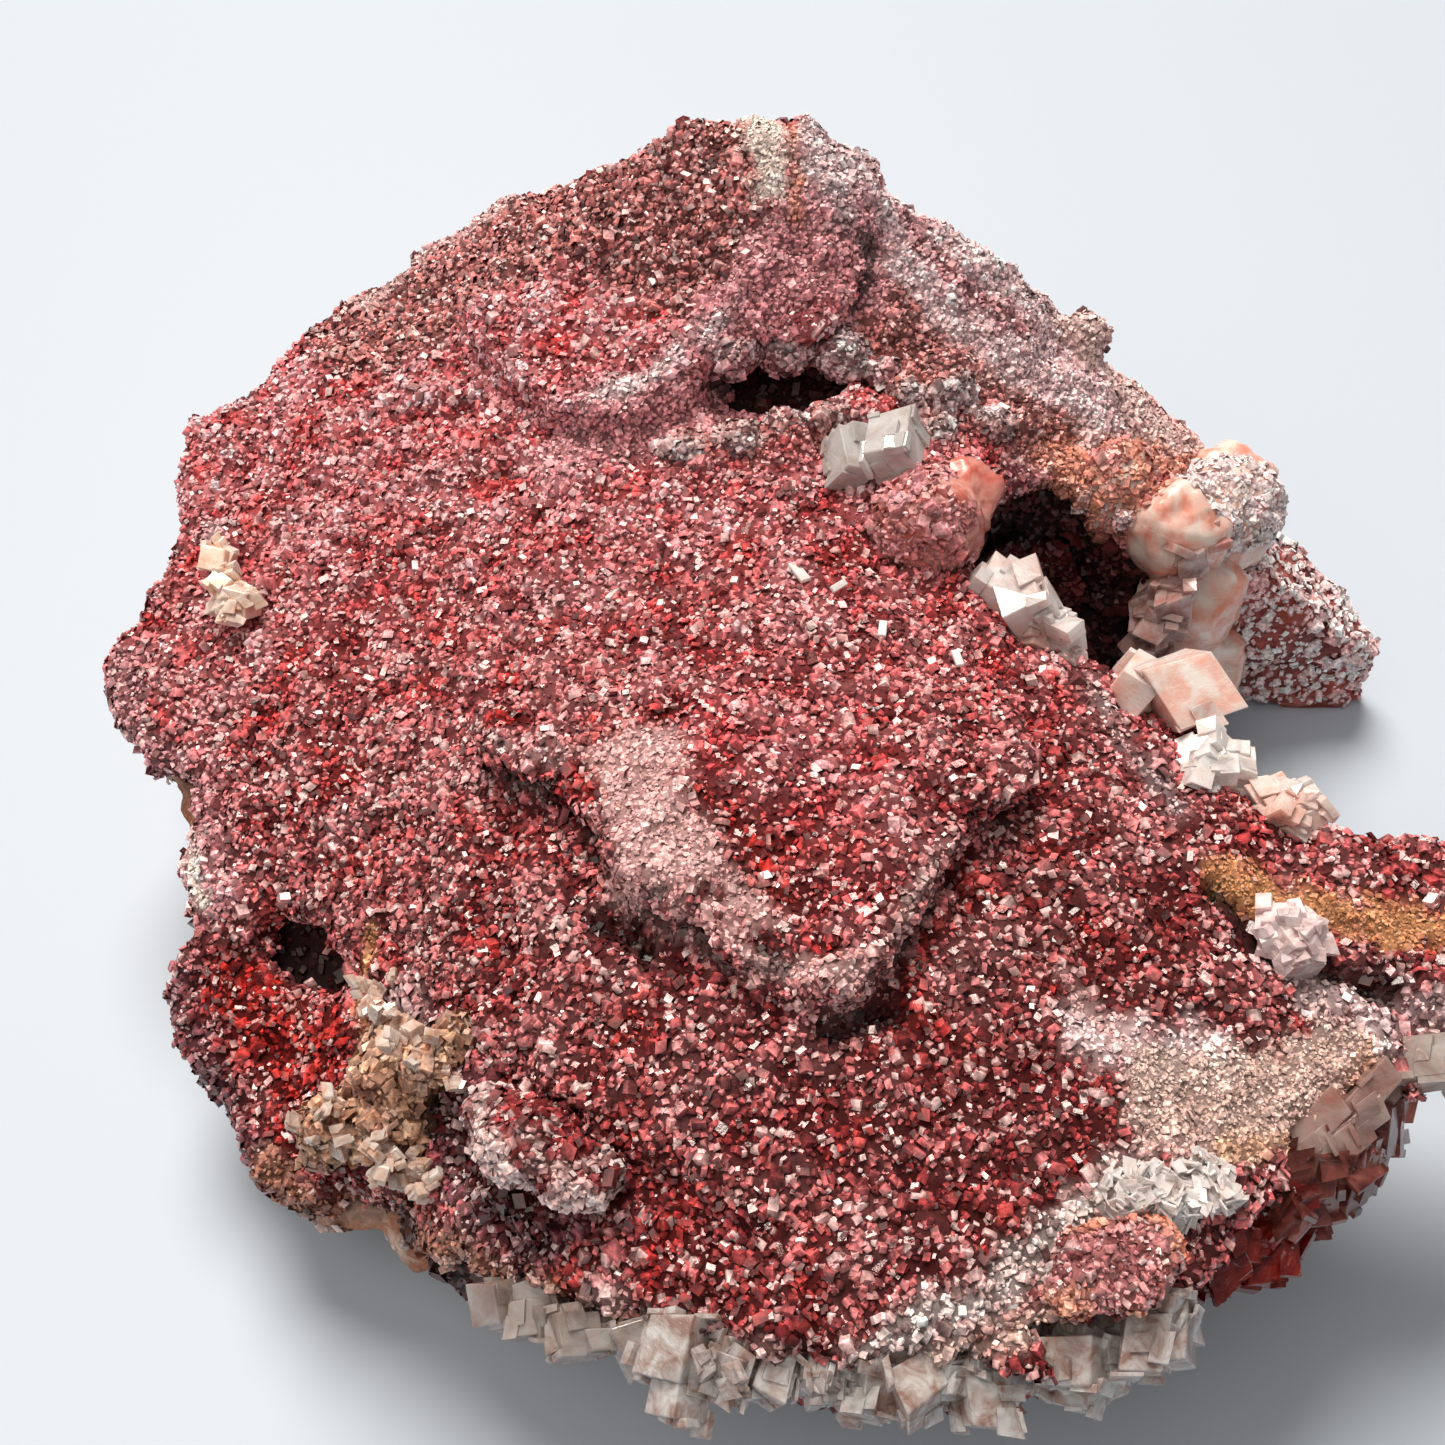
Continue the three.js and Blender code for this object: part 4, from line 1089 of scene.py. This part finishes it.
def away(points, x, y):
    """How far points are in plan from a place, all in mm."""
    return np.hypot(points[:, 0] - x, points[:, 1] - y)


# Orange to pink calcite, rounded and glossy: light glows inside it.
ORANGE = calcite("orange_pink_rounded_calcite", "#F2A28C", "#FFEAE0", rough=0.25, clear=0.1,
                 milky=0.5, veil=4, lines=1.5, relief=0.04)
# Pink-red calcite, rounded and glossy, deeper in colour.
PINK_RED = calcite("pink_red_rounded_calcite", "#C24A3A", "#F2B4A6", rough=0.3, clear=0.1,
                   milky=0.5, veil=4, lines=1.5, relief=0.04)
# Mauve-pink calcite of the pillar beside the cave: glassy and stacked.
PILLAR = calcite("mauve_pink_glassy_calcite", "#D08E86", "#F8D4CC", rough=0.18, clear=0.3, milky=0.5, veil=3)

mesh = lobes("orange_pink_lobes", ORANGE)
skin("orange_sugar", mesh, LOBE_NET, 0.7, blend_of("orange", "rose", 3),
     lambda places: away(places, 44, 40) < 8.5)
skin("white_grains", mesh, LOBE_NET, 0.65, blend_of("white", "mauve", 3, 0.9),
     lambda places: (away(places, 62, 39) < 9) & (places[:, 2] > 38))
PILLAR_PATH = [(55, 30, 43), (52.5, 27, 38), (52, 25, 32), (51, 25, 26), (53, 24, 21)]
crystal_group("pillar_blocks", along(PILLAR_PATH, 24, 3.5, 6, 1.2, 90),
              PILLAR, bits=3, size=2.6, turn=8, flat=0.5, core=0.95, solid=False)
mesh = lobes("round_pink_lobe", PINK_RED)
skin("pink_sugar", mesh, LOBE_NET, 0.7, blend_of("plum", "rose", 3),
     lambda places: places[:, 0] + 0.3 * places[:, 1] < 25 + 2 * np.sin(places[:, 2]))

# %% [markdown]
# ## Sugary knobs
# The knobs on the pit's rim and the frosted ledge are lumps under a skin of fine crystals. The
# lumps alone would look like clay. The same druse as on the crust grows on them, only finer, and
# small honey-coloured rhombs stand among the knobs.

# %% Knobs and ledge
KNOB_NET = 0.9


def sugary(name, shape, rounds, look, edge, net=KNOB_NET, solid=False):
    """A lumpy net as a piece, with a skin of fine crystals all over."""
    mesh = even_net(shape, net, rounds)
    places = get_array(mesh.vertices, "co")
    push(mesh, 0.8 * waves(places, 3.5, 6.0) + 0.4 * waves(places, 1.5, 9.0) - 0.3)
    mesh.shade_smooth()
    tints, frost, _ = look(get_array(mesh.vertices, "co"))
    # Painted shade: the net between the fine crystals is painted at 0.4 of their tint.
    paint(mesh, tints * 0.4, frost)
    make_piece(name, mesh, CRUST_BODY, [name] if solid else [])
    skin(name + "_sugar", mesh, net, edge, look)


def rimmed(middle, radii, inside, outside):
    """A look with one tint round a middle and another, frosted one beyond it."""
    def look(points):
        reach = np.linalg.norm((points[:, :2] / MM - middle) / radii, axis=1)
        share = ((reach + 0.5 * waves(points, 2.5, 81.0) - 0.8) * 3).clip(0, 1)
        tints = TINTS[inside] + (TINTS[outside] - TINTS[inside]) * share[:, None]
        return tints, 0.1 + 0.5 * share, np.ones(len(points))
    return look


# Honey calcite: brown where it is thick, cream at its tips.
HONEY = calcite("honey_translucent_calcite", "#E4A88A", "#FFEEE0", rough=0.2, clear=0.2, milky=0.5, veil=2)
UPPER_ROW = [(-53, -37, 34), (-50, -45, 38), (-46, -50, 41), (-41, -52, 40)]
LOWER_ROW = [(-56, -53, 34), (-53, -55, 33), (-49, -58, 31), (-44, -60, 32)]
sugary("pit_rim_knobs", solids("pit_rim_knobs"), 2, blend_of("honey", "brown", 2.5),
       0.8, solid=True)
crystal_group("honey_rhombs",
              along(UPPER_ROW, 30, 0.9, 2.1, 1.5, 70) + along(LOWER_ROW, 30, 0.9, 2.3, 1.6, 80),
              HONEY, bits=4, size=1.3, turn=12, flat=0.6, core=0.85, solid=False)
sugary("frosted_ledge", solids("frosted_ledge"), 2, rimmed((-25.5, -56), (11.5, 10), "deep", "dusty"),
       0.6, solid=True)

# %% [markdown]
# ## Lumps of druse
# Over the dark gap at the foot of the hill the druse hangs in lobes, a knobbly ridge runs below
# it, and a scab of older crust lies at the front, red inside an orange rim. The lumps are balls
# that run into one another, remeshed as one net, so that no seam shows between them.

# %% Lobes, ridge and scab
LIP_LOBES = [((-18, 42.5, 60.5), (4, 3.5, 3)), ((-11, 46.5, 62.5), (4.5, 4.5, 3.5)),
             ((-3, 49, 62), (4.5, 4.8, 3.6)), ((5, 47.5, 61.5), (4.2, 4.6, 3.6)),
             ((10.5, 45, 60), (3, 3, 2.6))]
RIDGE_KNOBS = [((-17, 33, 56.5), (4.6, 3.2, 2.8)), ((-9.5, 34.5, 57.5), (4.2, 3, 2.6)),
               ((-3, 35.5, 58.3), (3.6, 2.8, 2.6)), ((3, 37, 58.8), (3.4, 2.8, 2.4)),
               ((13, 42, 59), (3.6, 3, 2.8)), ((20, 44, 58), (4, 3.4, 2.8)),
               ((18, 38, 55.5), (3.2, 2.8, 2.6)), ((26, 41, 54.5), (3.6, 3, 2.4))]
SCAB = [((26, -75, 45.5), (6, 4.6, 2.4)), ((30, -73, 45), (4, 3.4, 2.2)), ((22, -77, 45), (3, 2.8, 2))]


def balls(places):
    """Balls that run into one another, each with its middle and its three radii in mm."""
    shape = bmesh.new()
    for middle, radii in places:
        bmesh.ops.create_icosphere(
            shape, subdivisions=3, radius=1,
            matrix=Matrix.Translation(Vector(middle) * MM) @ Matrix.Diagonal((*(Vector(radii) * MM), 1)))
    return shape


sugary("hill_lip_lobes", balls(LIP_LOBES), 1, blend_of("plum", "mauve", 4, 0.4), 0.6)
sugary("ridge_knobs", balls(RIDGE_KNOBS), 1, blend_of("rose", "mauve", 4, 0.4), 0.6)
sugary("red_crust_scab", balls(SCAB), 1, rimmed((26.5, -75), (6.5, 4.5), "brick", "orange"),
       0.5, net=0.6)

# %% [markdown]
# ## Loose chips
# A few thin chips of pale calcite have broken off somewhere and lie loose on the druse. Each is one
# bevelled block, turned and tilted a little, and all are one mesh.

# %% Chips
CHIPS = [((-2, 11, 55), 3.6), ((3, 9, 54.5), 2.4), ((8, 1, 55), 2.6),
         ((17, -3, 54), 2.6), ((-26, 10, 52), 2.2)]  # place and length
CHIP_WIDTH = 0.4  # of its length
CHIP_THICKNESS = 0.6

chip_shape = bmesh.new()
for place, length in CHIPS:
    turn = Matrix.Rotation(chance.uniform(0, pi), 4, "Z") @ Matrix.Rotation(chance.normal(0, 0.3), 4, "X")
    shape = Matrix.Diagonal((length * MM, length * CHIP_WIDTH * MM, CHIP_THICKNESS * MM, 1))
    add_block(chip_shape, Matrix.Translation(Vector(place) * MM) @ turn @ shape, 0.1)
chips = bpy.data.meshes.new("loose_chips")
chip_shape.to_mesh(chips)
chip_shape.free()
chips.shade_flat()
make_piece("loose_chips", chips, WHITE)

# %% [markdown]
# ## Table and light
# The stone lies on a pale table. A broad soft light from behind makes the crystals flash towards
# the viewer and throws the shadow forward. A weaker and broader one from the left front lifts the
# sides that face the viewer, and a dim pale room lights the rest.

# %% Stage
TABLE_REACH = 20  # metres from its middle to its edge, so that the edge is far off
bpy.context.scene.view_settings.view_transform = "Standard"
floor_shape = bmesh.new()
bmesh.ops.create_grid(floor_shape, x_segments=1, y_segments=1, size=TABLE_REACH)
floor_mesh = bpy.data.meshes.new("table_top")
floor_shape.to_mesh(floor_mesh)
floor_shape.free()
TABLE_TOP, tree, shader = new_material("pale_matt_table")
shader.inputs["Base Color"].default_value = linear("#BECCDA")
shader.inputs["Roughness"].default_value = 0.6
floor_mesh.materials.append(TABLE_TOP)
floor = bpy.data.objects.new("table_top", floor_mesh)
bpy.context.scene.collection.objects.link(floor)

world = bpy.data.worlds.new("pale_room")
world.use_nodes = True
world.node_tree.nodes["Background"].inputs["Color"].default_value = linear("#F2F0EE")
world.node_tree.nodes["Background"].inputs["Strength"].default_value = 0.15
bpy.context.scene.world = world


def soft_light(name, turn, height, strength, width):
    """Daylight from a direction in degrees, as wide in the sky as width in degrees.

    Turn 0 is the stone's right and 90 its back."""
    light = bpy.data.lights.new(name, "SUN")
    light.energy, light.angle = strength, radians(width)
    light.color = linear("#FFF3E8")[:3]
    holder = bpy.data.objects.new(name, light)
    holder.rotation_euler = (pi / 2 - radians(height), 0, radians(turn) + pi / 2)
    bpy.context.scene.collection.objects.link(holder)


soft_light("window_light", 105, 58, 4.1, 32)
soft_light("ceiling_light", 215, 58, 1.05, 60)
print("lamps:", len(bpy.data.lights))
